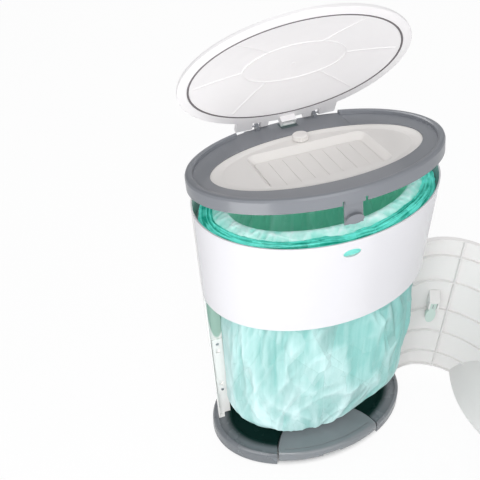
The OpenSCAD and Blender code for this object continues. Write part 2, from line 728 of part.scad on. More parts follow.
module collar_form() {
    r = collar_w / 2;
    t = collar_t;
    difference() {
        union() {
            difference() {
                collar_up() oval_turn(collar_w, collar_d)
                    polygon([[r * 0.6, shelf_h - t], [r - bead_w + t, shelf_h - t],
                        [r - bead_w + t + 0.6, collar_h - t], [r - bead_r - 0.8, collar_h - t],
                        [r - t, collar_h - t - 3], [r - t, 0], [r, 0], [r, collar_h - bead_r],
                        [r - 1.5, collar_h - 1.5], [r - bead_r, collar_h], [r - bead_w + 4, collar_h],
                        [r - bead_w + 1, collar_h - 1.2], [r - bead_w, shelf_h], [r * 0.6, shelf_h]]);
                // the bead is left out where the lid is hinged
                translate([-hinge_gap_w / 2, collar_d / 4, collar_z + seat_h]) cube([hinge_gap_w, far, far]);
            }
            // floor of the hinge seat
            intersection() {
                collar_up() oval(collar_w - 1, collar_d - 1, seat_h);
                translate([-hinge_gap_w / 2 - 2, collar_d * 0.36, collar_z + seat_h - t])
                    cube([hinge_gap_w + 4, far, t]);
            }
            // ears that hold the lid's pins
            for (s = [-1, 1]) translate([s * (lid_ear_x + lid_ear_t / 2), lid_pin_y, collar_z + lid_pin_h]) {
                rod_x(2 * lid_ear_r, lid_ear_t);
                translate([-lid_ear_t / 2, -lid_ear_r - 5, -lid_pin_h + seat_h - 1])
                    cube([lid_ear_t, 2 * lid_ear_r + 5, lid_pin_h - seat_h + 1]);
            }
            // lip round the mouth with the hopper's ledge
            mouth(collar_t, ledge_h, shelf_h - t / 2);
            // seat of the latch tongue
            translate([-tongue_w / 2, -collar_d / 2 + t / 2, collar_z + latch_root_h + seat])
                cube([tongue_w, latch_y + tongue_t + collar_d / 2 - t / 2, shelf_h - t / 2 - latch_root_h]);
            // arms to the hinge pin
            for (s = [-1, 1]) translate([s * (arm_x + arm_t / 2), collar_pin_y, 0]) {
                translate([0, 0, collar_pin_z]) rod_x(ear_d, arm_t);
                translate([-arm_t / 2, -ear_d / 2, collar_pin_z]) cube([arm_t, ear_d, ear_d]);
                translate([-arm_t / 2, -18, collar_pin_z + ear_d / 2 + 1])
                    cube([arm_t, 12 + ear_d / 2, ear_d / 2 - 1]);
            }
        }
        mouth(0, ledge_h + ledge_t, collar_h + 1);
        mouth(-ledge_w, -1, collar_h + 1);
        // slot for the lid's drive box
        translate([-drive_w / 2 - 2, drive_y - drive_d / 2 - 8, collar_z - 1])
            cube([drive_w + 4, drive_d + 9.4, far]);
        // reliefs beside the latch tongue
        for (s = [-1, 1]) translate([s * (tongue_w / 2 + 3) - 2, -collar_d, collar_z - 1])
            cube([4, collar_d * 0.6, 8]);
        for (p = screw_places) translate([p[0], p[1], collar_z]) cylinder(h = shelf_h, d = screw_dia + 0.2);
        translate([0, lid_pin_y, collar_z + lid_pin_h])
            rod_x(lid_pin_dia + 2 * pin_fit, 2 * (lid_ear_x + lid_ear_t) + 2);
        translate([0, collar_pin_y, collar_pin_z])
            rod_x(collar_pin_dia + 2 * pin_fit, 2 * (arm_x + arm_t) + 2);
    }
}

module collar() color("gray") at_collar() collar_form();

pin_in = 36;
pin_out = 84;

module lid_hinge_pins() color("silver") at_collar()
    for (s = [-1, 1]) translate([s * (pin_in + pin_out) / 2, lid_pin_y, collar_z + lid_pin_h])
        rod_x(lid_pin_dia, pin_out - pin_in);

module collar_hinge_pin() color("silver")
    translate([0, collar_pin_y, collar_pin_z]) rod_x(collar_pin_dia, 2 * (arm_x + arm_t) + 4);

// Hopper plate with its well and trap door

dish_h = 13.6;
rim_h = 16;
plate_t = 2.5;
mouth_r = mouth_w / 2 - seat;
// Width of the plate's raised rim and of the slope inside it
rim_flat = 3;
rim_slope = 16;
well_h = 3;
well_round = 17;
trap_round = 9;
well_y = -well_fwd;
trap_y = well_y - 1;
trap_pin_dia = 3;
trap_pin_y = trap_y + trap_d / 2 - 4.3;
trap_pin_h = well_h - trap_t - 3.5;
trap_gap = 0.6;
trap_knuckle_x = [-60, 60];
// Height of the knob's seat over the plate
knob_lift = 0.6;

// The sloping well, grown by grow and ending at h_low
module well_form(grow, h_low) {
    hull() {
        translate([0, well_y, collar_z + dish_h]) linear_extrude(rim_h - dish_h)
            round_rect(well_w + 2 * grow, well_d + 2 * grow, well_round + grow, $fn = 28);
        translate([0, trap_y, collar_z + h_low]) linear_extrude(0.1)
            round_rect(trap_w + 2 * grow, trap_d + 2 * grow, trap_round + grow, $fn = 28);
    }
}

module hopper_plate() color("whitesmoke") at_collar() difference() {
    union() {
        collar_up() translate([0, -mouth_fwd, 0]) oval_turn(mouth_w - 2 * seat, mouth_d - 2 * seat)
            polygon([[0, dish_h - plate_t], [mouth_r - 22, dish_h - plate_t],
                [mouth_r - 12, ledge_h + ledge_t], [mouth_r, ledge_h + ledge_t], [mouth_r, rim_h],
                [mouth_r - rim_flat, rim_h], [mouth_r - rim_flat - rim_slope, dish_h], [0, dish_h]]);
        difference() {
            well_form(plate_t, well_h - plate_t);
            collar_up(dish_h - 0.5) translate([-far, -far, 0]) cube(2 * far);
        }
        // short chute round the trap door
        translate([0, trap_y, collar_z + trap_pin_h - 5]) linear_extrude(well_h + 6 - trap_pin_h)
            round_rect(trap_w + 2 * plate_t, trap_d + 2 * plate_t, trap_round + plate_t);
        // seat of the knob
        translate([0, knob_y, collar_z + dish_h - 1]) cylinder(h = 1 + knob_lift, d = knob_dia - 4);
    }
    well_form(0, well_h);
    // room round the knob in the plate's slope
    translate([0, knob_y, collar_z + dish_h + knob_lift]) cylinder(h = rim_h, d = knob_dia + 2 * run);
    for (p = screw_places) translate([p[0], p[1], collar_z + ledge_h])
        cylinder(h = rim_h - ledge_h - 1, d = screw_dia + 0.1);
    translate([0, trap_y, collar_z + trap_pin_h - 6]) linear_extrude(20)
        round_rect(trap_w, trap_d, trap_round);
    translate([0, trap_pin_y, collar_z + trap_pin_h])
        rod_x(trap_pin_dia + 2 * pin_fit, trap_w + 2 * plate_t + 4);
}

module hopper_screws() color("silver") at_collar()
    for (p = screw_places) translate([p[0], p[1], collar_z + ledge_h]) {
        difference() {
            translate([0, 0, -2]) cylinder(h = 2, d = screw_head - 1);
            for (a = [0, 90]) rotate([0, 0, a]) translate([-1.8, -0.4, -3]) cube([3.6, 0.8, 2]);
        }
        translate([0, 0, -0.5]) cylinder(h = rim_h - ledge_h - 1, d = screw_dia);
    }

module trap_door() color("white") at_collar() difference() {
    union() {
        translate([0, trap_y, collar_z + well_h - trap_t]) linear_extrude(trap_t)
            round_rect(trap_w - 2 * trap_gap, trap_d - 2 * trap_gap, trap_round - trap_gap);
        for (x = trap_knuckle_x) translate([x, trap_pin_y, collar_z + trap_pin_h]) {
            rod_x(trap_pin_dia + 4, 18);
            translate([-9, -trap_pin_dia / 2 - 2, 0])
                cube([18, trap_pin_dia / 2 + 2, well_h - trap_t / 2 - trap_pin_h]);
        }
    }
    for (i = [1 : trap_grooves])
        translate([-trap_w / 2 + i * trap_w / (trap_grooves + 1) - 0.5, trap_y - trap_d / 2 + 8,
            collar_z + well_h - 0.6]) cube([1, trap_d - 16, 2]);
    translate([0, trap_pin_y, collar_z + trap_pin_h]) rod_x(trap_pin_dia + 2 * pin_fit, trap_w);
}

module trap_pin() color("silver") at_collar()
    translate([0, trap_pin_y, collar_z + trap_pin_h]) rod_x(trap_pin_dia, trap_w + 2 * plate_t);

module trap_spring() color("silver") at_collar()
    translate([-6, trap_pin_y, collar_z + trap_pin_h]) coil(trap_pin_dia + 2.2, 1, 6, 1.7);

// Round knob with hollows round its edge
module knob() color("white") at_collar() translate([0, knob_y, collar_z + dish_h + knob_lift])
    difference() {
        union() {
            cylinder(h = knob_h - 1.5, d = knob_dia);
            translate([0, 0, knob_h - 1.5]) cylinder(h = 1.5, d1 = knob_dia, d2 = knob_dia - 3);
        }
        for (i = [0 : knob_ribs - 1]) rotate([0, 0, i * 360 / knob_ribs])
            translate([knob_dia / 2 + 0.7, 0, -1]) cylinder(h = knob_h - 1, r = 1.6, $fn = 20);
    }

// Latch tongue with its button

latch_y = -rim_d / 2 + wall_t + 1.2;
latch_root_h = 8;
latch_low = window_z - window_h / 2 - 2;

module latch() color("gray") at_collar() {
    // tongue that hangs from its seat behind the collar's skirt
    translate([-tongue_w / 2, latch_y, latch_low])
        cube([tongue_w, tongue_t, collar_z + latch_root_h - latch_low]);
    translate([0, latch_y + 0.5, window_z]) rotate([90, 0, 0])
        oval(window_w - 2 * run, window_h - 2 * run, button_out + 0.5);
}

// Lid. Its pieces are drawn closed, then opened about their pins on the tilted collar

lid_z = collar_z + shelf_h + 0.35;
lid_pin_z = collar_z + lid_pin_h;

module at_lid() { at_collar() tilt(lid_pin_y, lid_pin_z, lid_open) children(); }

lug_x0 = 60;
lug_x1 = 88;
tab_x0 = 32;
tab_x1 = 45;
lug_r = lid_pin_z - lid_z;

// A lug that reaches from the lid's edge to its pin
module lid_lug(x0, x1) {
    translate([(x0 + x1) / 2, lid_pin_y, lid_pin_z]) rod_x(2 * lug_r, x1 - x0);
    translate([x0, lid_d / 2 - 18, lid_z]) cube([x1 - x0, lid_pin_y - lid_d / 2 + 18, 2 * lug_r]);
}

function lid_top(q) = lid_edge + (lid_crown - lid_edge) * (1 - pow(q / (lid_w / 2), 2));
dome_steps = 5;
grip_r = 150;
grip_out = 2.8;

module lid_shell() color("white") at_lid() {
    r = lid_w / 2;
    r_in = r - lid_t;
    difference() {
        union() {
            difference() {
                translate([0, 0, lid_z]) oval_turn(lid_w, lid_d) polygon(concat(
                    [[seal_w / 2 - 14, 0], [r - 1, 0], [r, 1], [r, lid_edge - 3], [r - 1.2, lid_edge - 0.8]],
                    [for (i = [dome_steps : -1 : 0]) let (q = (r - 4) * i / dome_steps) [q, lid_top(q)]],
                    [for (i = [0 : dome_steps]) let (q = (r - 7) * i / dome_steps) [q, lid_top(q) - lid_t]],
                    [[r_in, lid_edge - 3], [r_in, lid_t], [seal_w / 2 - 14, lid_t]]));
                translate([0, 0, lid_z - 1]) oval(seal_w + 2, seal_d + 2, lid_t + 2);
            }
            for (s = [0, 1]) mirror([s, 0, 0]) {
                lid_lug(lug_x0, lug_x1);
                lid_lug(tab_x0, tab_x1);
            }
            // grip lip at the front
            intersection() {
                translate([0, grip_r - lid_d / 2 - grip_out, lid_z]) cylinder(h = lid_edge / 2, r = grip_r);
                in_front(seal_d / -2 - 8);
            }
            // drive box that the push rod lifts
            translate([-drive_w / 2, drive_y - drive_d / 2, collar_z + drive_h])
                cube([drive_w, drive_d, lid_z - collar_z - drive_h + lid_t]);
        }
        translate([-drive_w / 2 + 3, drive_y - drive_d / 2 + 2.5, collar_z + drive_h - 1])
            cube([drive_w - 6, drive_d - 5, lid_z - collar_z - drive_h + 1]);
        translate([0, lid_pin_y, lid_pin_z]) rod_x(lid_pin_dia + 2 * pin_fit, 2 * pin_out + 1);
    }
}

panel_rise = 17;
panel_t = 2;
seal_r = seal_w / 2 + 0.7;
seal_in = 2.8;
panel_r = seal_r - seal_in - seat;
// Half width and half depth of the panel's oval ridge
ridge_w = 86;
ridge_d = 41;
ridge_h = 1.2;
ridge_t = 2;
spoke_h = 0.9;
spoke_at = [0, 37, 139, 180, 217, 319];
gate_y = 9;
panel_press = seal_d / seal_w;

// Underside of the dome at x and y
function panel_z(x, y) =
    panel_rise * (1 - (pow(x, 2) + pow(y / panel_press, 2)) / pow(seal_w / 2, 2));

// Distance from the middle to an oval of half sizes w and d, at a degrees
function oval_reach(w, d, a) = 1 / sqrt(pow(cos(a) / w, 2) + pow(sin(a) / d, 2));

// A spoke under the panel from its oval ridge to its edge, at a degrees
module spoke(a) {
    r0 = oval_reach(ridge_w, ridge_d, a);
    r1 = oval_reach(panel_r, panel_r * panel_press, a) * 0.96;
    rs = [for (i = [0 : 3]) r0 + (r1 - r0) * i / 3];
    zs = [for (r = rs) panel_z(r * cos(a), r * sin(a))];
    rotate([0, 0, a]) rotate([90, 0, 0]) translate([0, 0, -ridge_t / 2]) linear_extrude(ridge_t)
        polygon(concat([for (i = [0 : 3]) [rs[i], zs[i] - spoke_h]],
            [for (i = [3 : -1 : 0]) [rs[i], zs[i] + panel_t / 2]]));
}

// One ring of the dome's skin, of half sizes w and d, h over its underside
function dome_ring(w, d, h, n) = [for (i = [0 : n - 1])
    let (x = w * cos(360 * i / n), y = d * sin(360 * i / n)) [x, y, panel_z(x, y) + h]];

// The pressed dome with its oval ridge, as one closed skin from the middle out and back
module dome_shell() {
    n = 72;
    w0 = ridge_w - ridge_t / 2;
    d0 = ridge_d - ridge_t / 2;
    w1 = ridge_w + ridge_t / 2;
    d1 = ridge_d + ridge_t / 2;
    edge_d = panel_r * panel_press;
    rings = concat([[w0 / 2, d0 / 2, 0], [w0, d0, 0], [w0, d0, -ridge_h], [w1, d1, -ridge_h], [w1, d1, 0]],
        [for (i = [1 : 3]) [w1 + (panel_r - w1) * i / 3, d1 + (edge_d - d1) * i / 3, 0]],
        [for (i = [dome_steps : -1 : 1]) [panel_r * i / dome_steps, edge_d * i / dome_steps, panel_t]]);
    m = len(rings);
    polyhedron(
        points = concat([for (c = rings) each dome_ring(c[0], c[1], c[2], n)],
            [[0, 0, panel_rise], [0, 0, panel_rise + panel_t]]),
        faces = concat([for (j = [0 : m - 2]) for (i = [0 : n - 1]) let (k = (i + 1) % n)
            each [[j * n + i, j * n + n + i, j * n + n + k], [j * n + i, j * n + n + k, j * n + k]]],
            [for (i = [0 : n - 1]) [m * n, i, (i + 1) % n]],
            [for (i = [0 : n - 1]) [m * n + 1, m * n - n + (i + 1) % n, m * n - n + i]]));
}

module lid_panel() color("whitesmoke") at_lid() translate([0, 0, lid_z]) {
    dome_shell();
    for (a = spoke_at) spoke(a);
    // gate stub behind the middle
    translate([0, gate_y, panel_z(0, gate_y) - ridge_h / 2]) cylinder(h = panel_t, d = 8, $fn = 24);
}

module lid_seal() color("dimgray") at_lid() translate([0, 0, lid_z - 0.2]) oval_turn(seal_w, seal_d)
    translate([seal_r - seal_in, 0]) square([seal_in, 2.2]);

// Door. Its pieces are drawn closed, then swung about the leaning hinge line

module at_door() {
    translate([half_w(door_top) + hinge_out, 0, door_top]) rotate([0, lean_deg, 0])
        rotate([0, 0, door_open]) rotate([0, -lean_deg, 0])
            translate([-half_w(door_top) - hinge_out, 0, -door_top]) children();
}

// Heights of the door's ribs above the floor
rib_zs = [76, 140, 205, 283, 350];
// Places of its upright ribs round the oval from the hinge, degrees
upright_at = [32, 148];

// Ball of the toe scoop: it passes the scoop's deepest point, its ends and its top on the wall
front_y = mid_y(door_z) - half_d(door_z);
deep_y = front_y + scoop_d;
wall_y_at = mid_y(door_z) - half_d(door_z) * sqrt(1 - pow(scoop_w / half_w(door_z), 2));
low_r = (pow(scoop_w, 2) + pow(wall_y_at - deep_y, 2)) / (2 * (deep_y - wall_y_at));
scoop_y = deep_y - low_r;
top_y = mid_y(door_z + scoop_h) - half_d(door_z + scoop_h);
scoop_z = door_z + (pow(scoop_h, 2) + pow(top_y - scoop_y, 2) - pow(low_r, 2)) / (2 * scoop_h);
scoop_r = sqrt(pow(low_r, 2) + pow(scoop_z - door_z, 2));
scoop_top = door_z + scoop_h + 12;

// The toe scoop is a ball that meets the front wall
module scoop(grow) { translate([0, scoop_y, scoop_z]) sphere(r = scoop_r + grow); }

// Points of one rib's end, from its top to its foot, on the wall's inside
function rib_points(z) = [[half_w(z + rib_t) - wall_t, z + rib_t],
    [half_w(z + rib_t) - wall_t - rib_in, z + rib_t], [half_w(z) - wall_t - rib_in, z],
    [half_w(z) - wall_t, z]];

// A flat plate that stands across the ribs at t degrees round the oval
module upright(t) {
    z0 = door_z + 0.1;
    z1 = door_top - 0.1;
    n = [press * sin(t), cos(t), 0] * rib_t / 2 / norm([press * sin(t), cos(t), 0]);
    at = function (inset, z)
        [(half_w(z) - inset) * cos(t), mid_y(z) - press * (half_w(z) - inset) * sin(t), z];
    ring = [at(root, z0), at(wall_t + rib_in, z0), at(wall_t + rib_in, z1), at(root, z1)];
    polyhedron(points = concat([for (p = ring) p - n], [for (p = ring) p + n]),
        faces = [[0, 1, 2, 3], [7, 6, 5, 4], [0, 4, 5, 1], [1, 5, 6, 2], [2, 6, 7, 3], [3, 7, 4, 0]]);
}

module door() color("white") at_door() difference() {
    union() {
        difference() {
            union() {
                body_turn() polygon(concat(wall_line(0, door_z, door_top),
                    rib_points(door_top - rib_t),
                    [for (i = [len(rib_zs) - 1 : -1 : 0]) each rib_points(rib_zs[i])],
                    rib_points(door_z)));
                for (t = upright_at) upright(t);
                intersection() {
                    scoop(wall_t);
                    body_turn() polygon([[0, door_z], [half_w(door_z) - root, door_z],
                        [half_w(scoop_top) - root, scoop_top], [0, scoop_top]]);
                }
            }
            behind(-run);
        }
        for (z = hinge_zs, z0 = [-1.5 * knuckle_l - run, knuckle_l / 2 + run]) on_hinge(z) knuckle(-1, z0);
        // catches that enter the keeper plate
        keeper_place() for (s = [-1, 1])
            translate([-catch_w / 2, 0, s * keeper_h * catch_at - catch_h / 2]) {
                translate([0, -return_back - 14, 0]) cube([catch_w, 14 + return_back - run, catch_h]);
                translate([-return_w + keeper_w / 2 + wall_t, -return_back - 14, 0])
                    cube([return_w - keeper_w / 2, 6, catch_h]);
            }
    }
    scoop(0);
    for (z = hinge_zs) on_hinge(z)
        translate([0, 0, -2 * knuckle_l]) cylinder(h = 4 * knuckle_l, d = door_pin + 2 * pin_fit);
}

module door_hinge_pins() color("silver")
    for (z = hinge_zs) on_hinge(z) translate([0, 0, -1.5 * knuckle_l - 1])
        cylinder(h = 3 * knuckle_l + 2, d = door_pin);

// Film cutter that hangs in a bracket on the door's inside

// Places children on the door's inner wall, with X pointing inwards
module at_cutter() {
    t = cutter_at;
    w = half_w(cutter_z) - wall_t;
    d = half_d(cutter_z) - wall_t;
    at_door() translate([w * cos(t), mid_y(cutter_z) - d * sin(t), cutter_z])
        rotate([0, 0, 180 - atan2(w * sin(t), d * cos(t))]) children();
}

bracket_d = 22;
bracket_w = 20;
bracket_low = 12;
bracket_top = 20;
bracket_eave = 8;
bracket_slot = 5;
// Gap that clears the curved wall behind the bracket
bracket_back = 1;
cutter_in = 14;
cutter_pin_dia = 3;
cutter_t = 13;

// The bracket is a flat-sided block with a sloping roof, and its back follows the leaning wall
module cutter_bracket() color("white") at_cutter() difference() {
    rotate([90, 0, 0]) linear_extrude(bracket_w, center = true)
        polygon([[bracket_back + bracket_low * lean, -bracket_low], [bracket_d, -bracket_low],
            [bracket_d, bracket_eave], [bracket_back - bracket_top * lean, bracket_top]]);
    rotate([90, 0, 0]) linear_extrude(bracket_w - 6, center = true)
        polygon([[bracket_slot, -far], [far, -far], [far, bracket_eave - 3.5],
            [bracket_d, bracket_eave - 3.5], [bracket_slot, bracket_top - 6]]);
    translate([cutter_in, 0, 0]) rotate([90, 0, 0])
        cylinder(h = bracket_w + 2, d = cutter_pin_dia + 2 * pin_fit, center = true);
}

module cutter_pin() color("silver") at_cutter() translate([cutter_in, 0, 0]) rotate([90, 0, 0])
    cylinder(h = bracket_w, d = cutter_pin_dia, center = true);

module cutter() color("whitesmoke") at_cutter() translate([cutter_in, 0, 0]) difference() {
    union() {
        rotate([90, 0, 0]) cylinder(h = cutter_t, d = 10, center = true);
        translate([-4, -cutter_t / 2, -20]) cube([8, cutter_t, 20]);
        translate([0, 0, -cutter_grip + 20]) rotate([0, 90, 0]) oval_grip();
    }
    rotate([90, 0, 0]) cylinder(h = 30, d = cutter_pin_dia + 2 * pin_fit, center = true);
    translate([-1, -0.6, -14]) cube([10, 1.2, 10]);
}

module oval_grip() { translate([0, 0, -4]) scale([2, 1, 1]) cylinder(h = 8, d = 19, $fn = 48); }

module cutter_blade() color("silver") at_cutter() translate([cutter_in, 0, 0])
    translate([0, -0.4, -13.5]) cube([6, 0.8, 9]);

base_tray();
base_feet();
rear_shell();
front_band();
support_ring();
liner_cassette();
liner_stock();
liner_bag();
keeper_plate();
keeper_screws();
rod_guides();
pedal_axle();
pedal_spring();
door_hinge_pins();
collar_hinge_pin();
collar();
hopper_plate();
hopper_screws();
lid_hinge_pins();
trap_pin();
trap_spring();
latch();
trap_door();
knob();
lid_shell();
lid_panel();
lid_seal();
door();
cutter_bracket();
cutter_pin();
cutter();
cutter_blade();
pedal();
pedal_lever();
push_rod();
rod_cap();
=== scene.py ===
"""Looks of the pedal nappy bin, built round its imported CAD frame.

The bin stands as photographed: collar tilted up, lid open, front door swung wide.
Rigid pieces keep their CAD meshes and get moulded-plastic, rubber or steel finishes.
The film pieces (bag, cuff and gathered stock) are lofted here as crinkled sheets.
Lengths are metres in the CAD frame; sizes named with _mm are millimetres.
"""

import logging  # noqa: E402
import math  # noqa: E402
from collections.abc import Callable  # noqa: E402
from dataclasses import dataclass, field  # noqa: E402
from enum import Enum  # noqa: E402

import bpy  # noqa: E402
from mathutils import Matrix, Vector, noise  # noqa: E402

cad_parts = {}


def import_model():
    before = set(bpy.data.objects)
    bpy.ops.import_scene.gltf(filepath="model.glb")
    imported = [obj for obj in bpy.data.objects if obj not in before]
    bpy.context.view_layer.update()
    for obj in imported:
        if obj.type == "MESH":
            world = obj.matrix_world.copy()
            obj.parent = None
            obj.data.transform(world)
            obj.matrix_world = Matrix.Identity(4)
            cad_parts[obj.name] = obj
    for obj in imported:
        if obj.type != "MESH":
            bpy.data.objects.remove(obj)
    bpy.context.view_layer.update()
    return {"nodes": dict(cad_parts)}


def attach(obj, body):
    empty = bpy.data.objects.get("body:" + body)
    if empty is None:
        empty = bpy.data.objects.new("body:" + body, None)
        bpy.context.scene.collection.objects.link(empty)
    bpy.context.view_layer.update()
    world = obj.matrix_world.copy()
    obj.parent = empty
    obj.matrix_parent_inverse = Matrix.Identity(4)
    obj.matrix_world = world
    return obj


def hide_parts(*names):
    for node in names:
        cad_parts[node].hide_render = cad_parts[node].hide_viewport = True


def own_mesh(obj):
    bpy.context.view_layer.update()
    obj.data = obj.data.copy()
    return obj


MM = 0.001
GOLDEN_TURN = 2.399963
GOLDEN_SHARE = 0.618034
log = logging.getLogger("nappy_bin")

Colour = tuple[float, float, float]
Point = tuple[float, float, float]


def linear(red: int, green: int, blue: int) -> Colour:
    """Turns a screen colour into the linear colour a shader takes.

    Args:
        red: Red from 0 to 255.
        green: Green from 0 to 255.
        blue: Blue from 0 to 255.

    Returns:
        The three linear channels.
    """

    def one(channel: int) -> float:
        """Straightens one channel's screen curve."""
        share = channel / 255
        return share / 12.92 if share <= 0.04045 else ((share + 0.055) / 1.055) ** 2.4

    return one(red), one(green), one(blue)


def clamp(value: float) -> float:
    """Keeps a value from 0 to 1."""
    return max(0.0, min(1.0, value))


def shade(colour: Colour, factor: float) -> Colour:
    """Makes a colour lighter or darker by a factor."""
    return tuple(min(1.0, channel * factor) for channel in colour)


class NodeTree:
    """A short way to lay out one material's nodes."""

    def __init__(self, name: str) -> None:
        """Starts an empty material with its output and principled shader.

        Args:
            name: The material's name.
        """
        self.material = bpy.data.materials.new(name)
        self.material.use_nodes = True
        self.tree = self.material.node_tree
        self.tree.nodes.clear()
        self.output = self.tree.nodes.new("ShaderNodeOutputMaterial")
        self.shader = self.tree.nodes.new("ShaderNodeBsdfPrincipled")
        self.link(self.shader.outputs[0], self.output.inputs["Surface"])

    def add(self, kind: str, **settings: object) -> bpy.types.Node:
        """Adds a node and sets its properties.

        Args:
            kind: The node's type name, without its ShaderNode prefix.
            **settings: Properties to set on the node.

        Returns:
            The new node.
        """
        node = self.tree.nodes.new("ShaderNode" + kind)
        for name, value in settings.items():
            setattr(node, name, value)
        return node

    def link(self, source: bpy.types.NodeSocket, target: bpy.types.NodeSocket) -> None:
        """Joins an output to an input."""
        self.tree.links.new(source, target)

    def grain(
        self, scale: float, detail: float, stretch: Point = (1, 1, 1)
    ) -> bpy.types.NodeSocket:
        """Adds noise in the object's own space.

        Args:
            scale: Grains per metre, roughly.
            detail: Octaves of the noise.
            stretch: Scale of the space along each axis.

        Returns:
            The noise's value socket.
        """
        place = self.add("TexCoord")
        mapping = self.add("Mapping")
        mapping.inputs["Scale"].default_value = stretch
        texture = self.add("TexNoise")
        texture.inputs["Scale"].default_value = scale
        texture.inputs["Detail"].default_value = detail
        self.link(place.outputs["Object"], mapping.inputs["Vector"])
        self.link(mapping.outputs[0], texture.inputs["Vector"])
        return texture.outputs[0]

    def span(self, value: bpy.types.NodeSocket, low: float, high: float) -> bpy.types.NodeSocket:
        """Maps the middle of a noise onto a range of numbers.

        Args:
            value: The noise's socket.
            low: Result where the noise is low.
            high: Result where the noise is high.

        Returns:
            The mapped value's socket.
        """
        node = self.add("MapRange")
        node.inputs["From Min"].default_value = 0.3
        node.inputs["From Max"].default_value = 0.7
        node.inputs["To Min"].default_value = low
        node.inputs["To Max"].default_value = high
        self.link(value, node.inputs["Value"])
        return node.outputs[0]

    def blend(
        self, share: bpy.types.NodeSocket, first: Colour, second: Colour
    ) -> bpy.types.NodeSocket:
        """Mixes two colours.

        Args:
            share: The second colour's share, from 0 to 1.
            first: Colour where the share is 0.
            second: Colour where the share is 1.

        Returns:
            The mixed colour's socket.
        """
        node = self.add("MixRGB")
        node.inputs[1].default_value = (*first, 1)
        node.inputs[2].default_value = (*second, 1)
        self.link(share, node.inputs[0])
        return node.outputs[0]

    def near(self, middle: Point, half: Point) -> bpy.types.NodeSocket:
        """Tells how far inside an oval region the surface lies.

        Args:
            middle: The region's middle in the object's own space.
            half: The region's half size along each axis.

        Returns:
            A share that is 1 inside and falls to 0 at the region's edge.
        """
        place = self.add("TexCoord")
        mapping = self.add("Mapping")
        mapping.inputs["Location"].default_value = [-m / h for m, h in zip(middle, half)]
        mapping.inputs["Scale"].default_value = [1 / h for h in half]
        self.link(place.outputs["Object"], mapping.inputs["Vector"])
        length = self.add("VectorMath", operation="LENGTH")
        self.link(mapping.outputs[0], length.inputs[0])
        share = self.add("MapRange")
        share.inputs["From Min"].default_value = 1.03
        share.inputs["From Max"].default_value = 0.95
        self.link(length.outputs["Value"], share.inputs["Value"])
        return share.outputs[0]

    def total(
        self, first: bpy.types.NodeSocket, second: bpy.types.NodeSocket
    ) -> bpy.types.NodeSocket:
        """Adds two values and keeps the result from 0 to 1.

        Args:
            first: One value's socket.
            second: The other value's socket.

        Returns:
            The total's socket.
        """
        node = self.add("Math", operation="ADD", use_clamp=True)
        self.link(first, node.inputs[0])
        self.link(second, node.inputs[1])
        return node.outputs[0]

    def times(
        self, value: bpy.types.NodeSocket, factor: float, plus: float = 0.0
    ) -> bpy.types.NodeSocket:
        """Multiplies a value and adds to it.

        Args:
            value: The value's socket.
            factor: What it is multiplied by.
            plus: What is then added.

        Returns:
            The result's socket.
        """
        node = self.add("Math", operation="MULTIPLY_ADD")
        node.inputs[1].default_value = factor
        node.inputs[2].default_value = plus
        self.link(value, node.inputs[0])
        return node.outputs[0]

    def bump(
        self,
        height: bpy.types.NodeSocket,
        strength: float,
        depth: float,
        normal: bpy.types.NodeSocket | None = None,
    ) -> bpy.types.NodeSocket:
        """Turns a height into a normal.

        Args:
            height: The height's socket.
            strength: How much of the bump shows, 0 to 1.
            depth: The bump's depth in metres.
            normal: A normal to build on.

        Returns:
            The bumped normal's socket.
        """
        node = self.add("Bump")
        node.inputs["Strength"].default_value = strength
        node.inputs["Distance"].default_value = depth
        self.link(height, node.inputs["Height"])
        if normal is not None:
            self.link(normal, node.inputs["Normal"])
        return node.outputs[0]


@dataclass(frozen=True)
class PaintedLightPatch:
    """A region of a moulding painted with light and shade: another colour and a glow."""

    middle: Point
    half: Point
    colour: Colour
    glow: float = 0.0


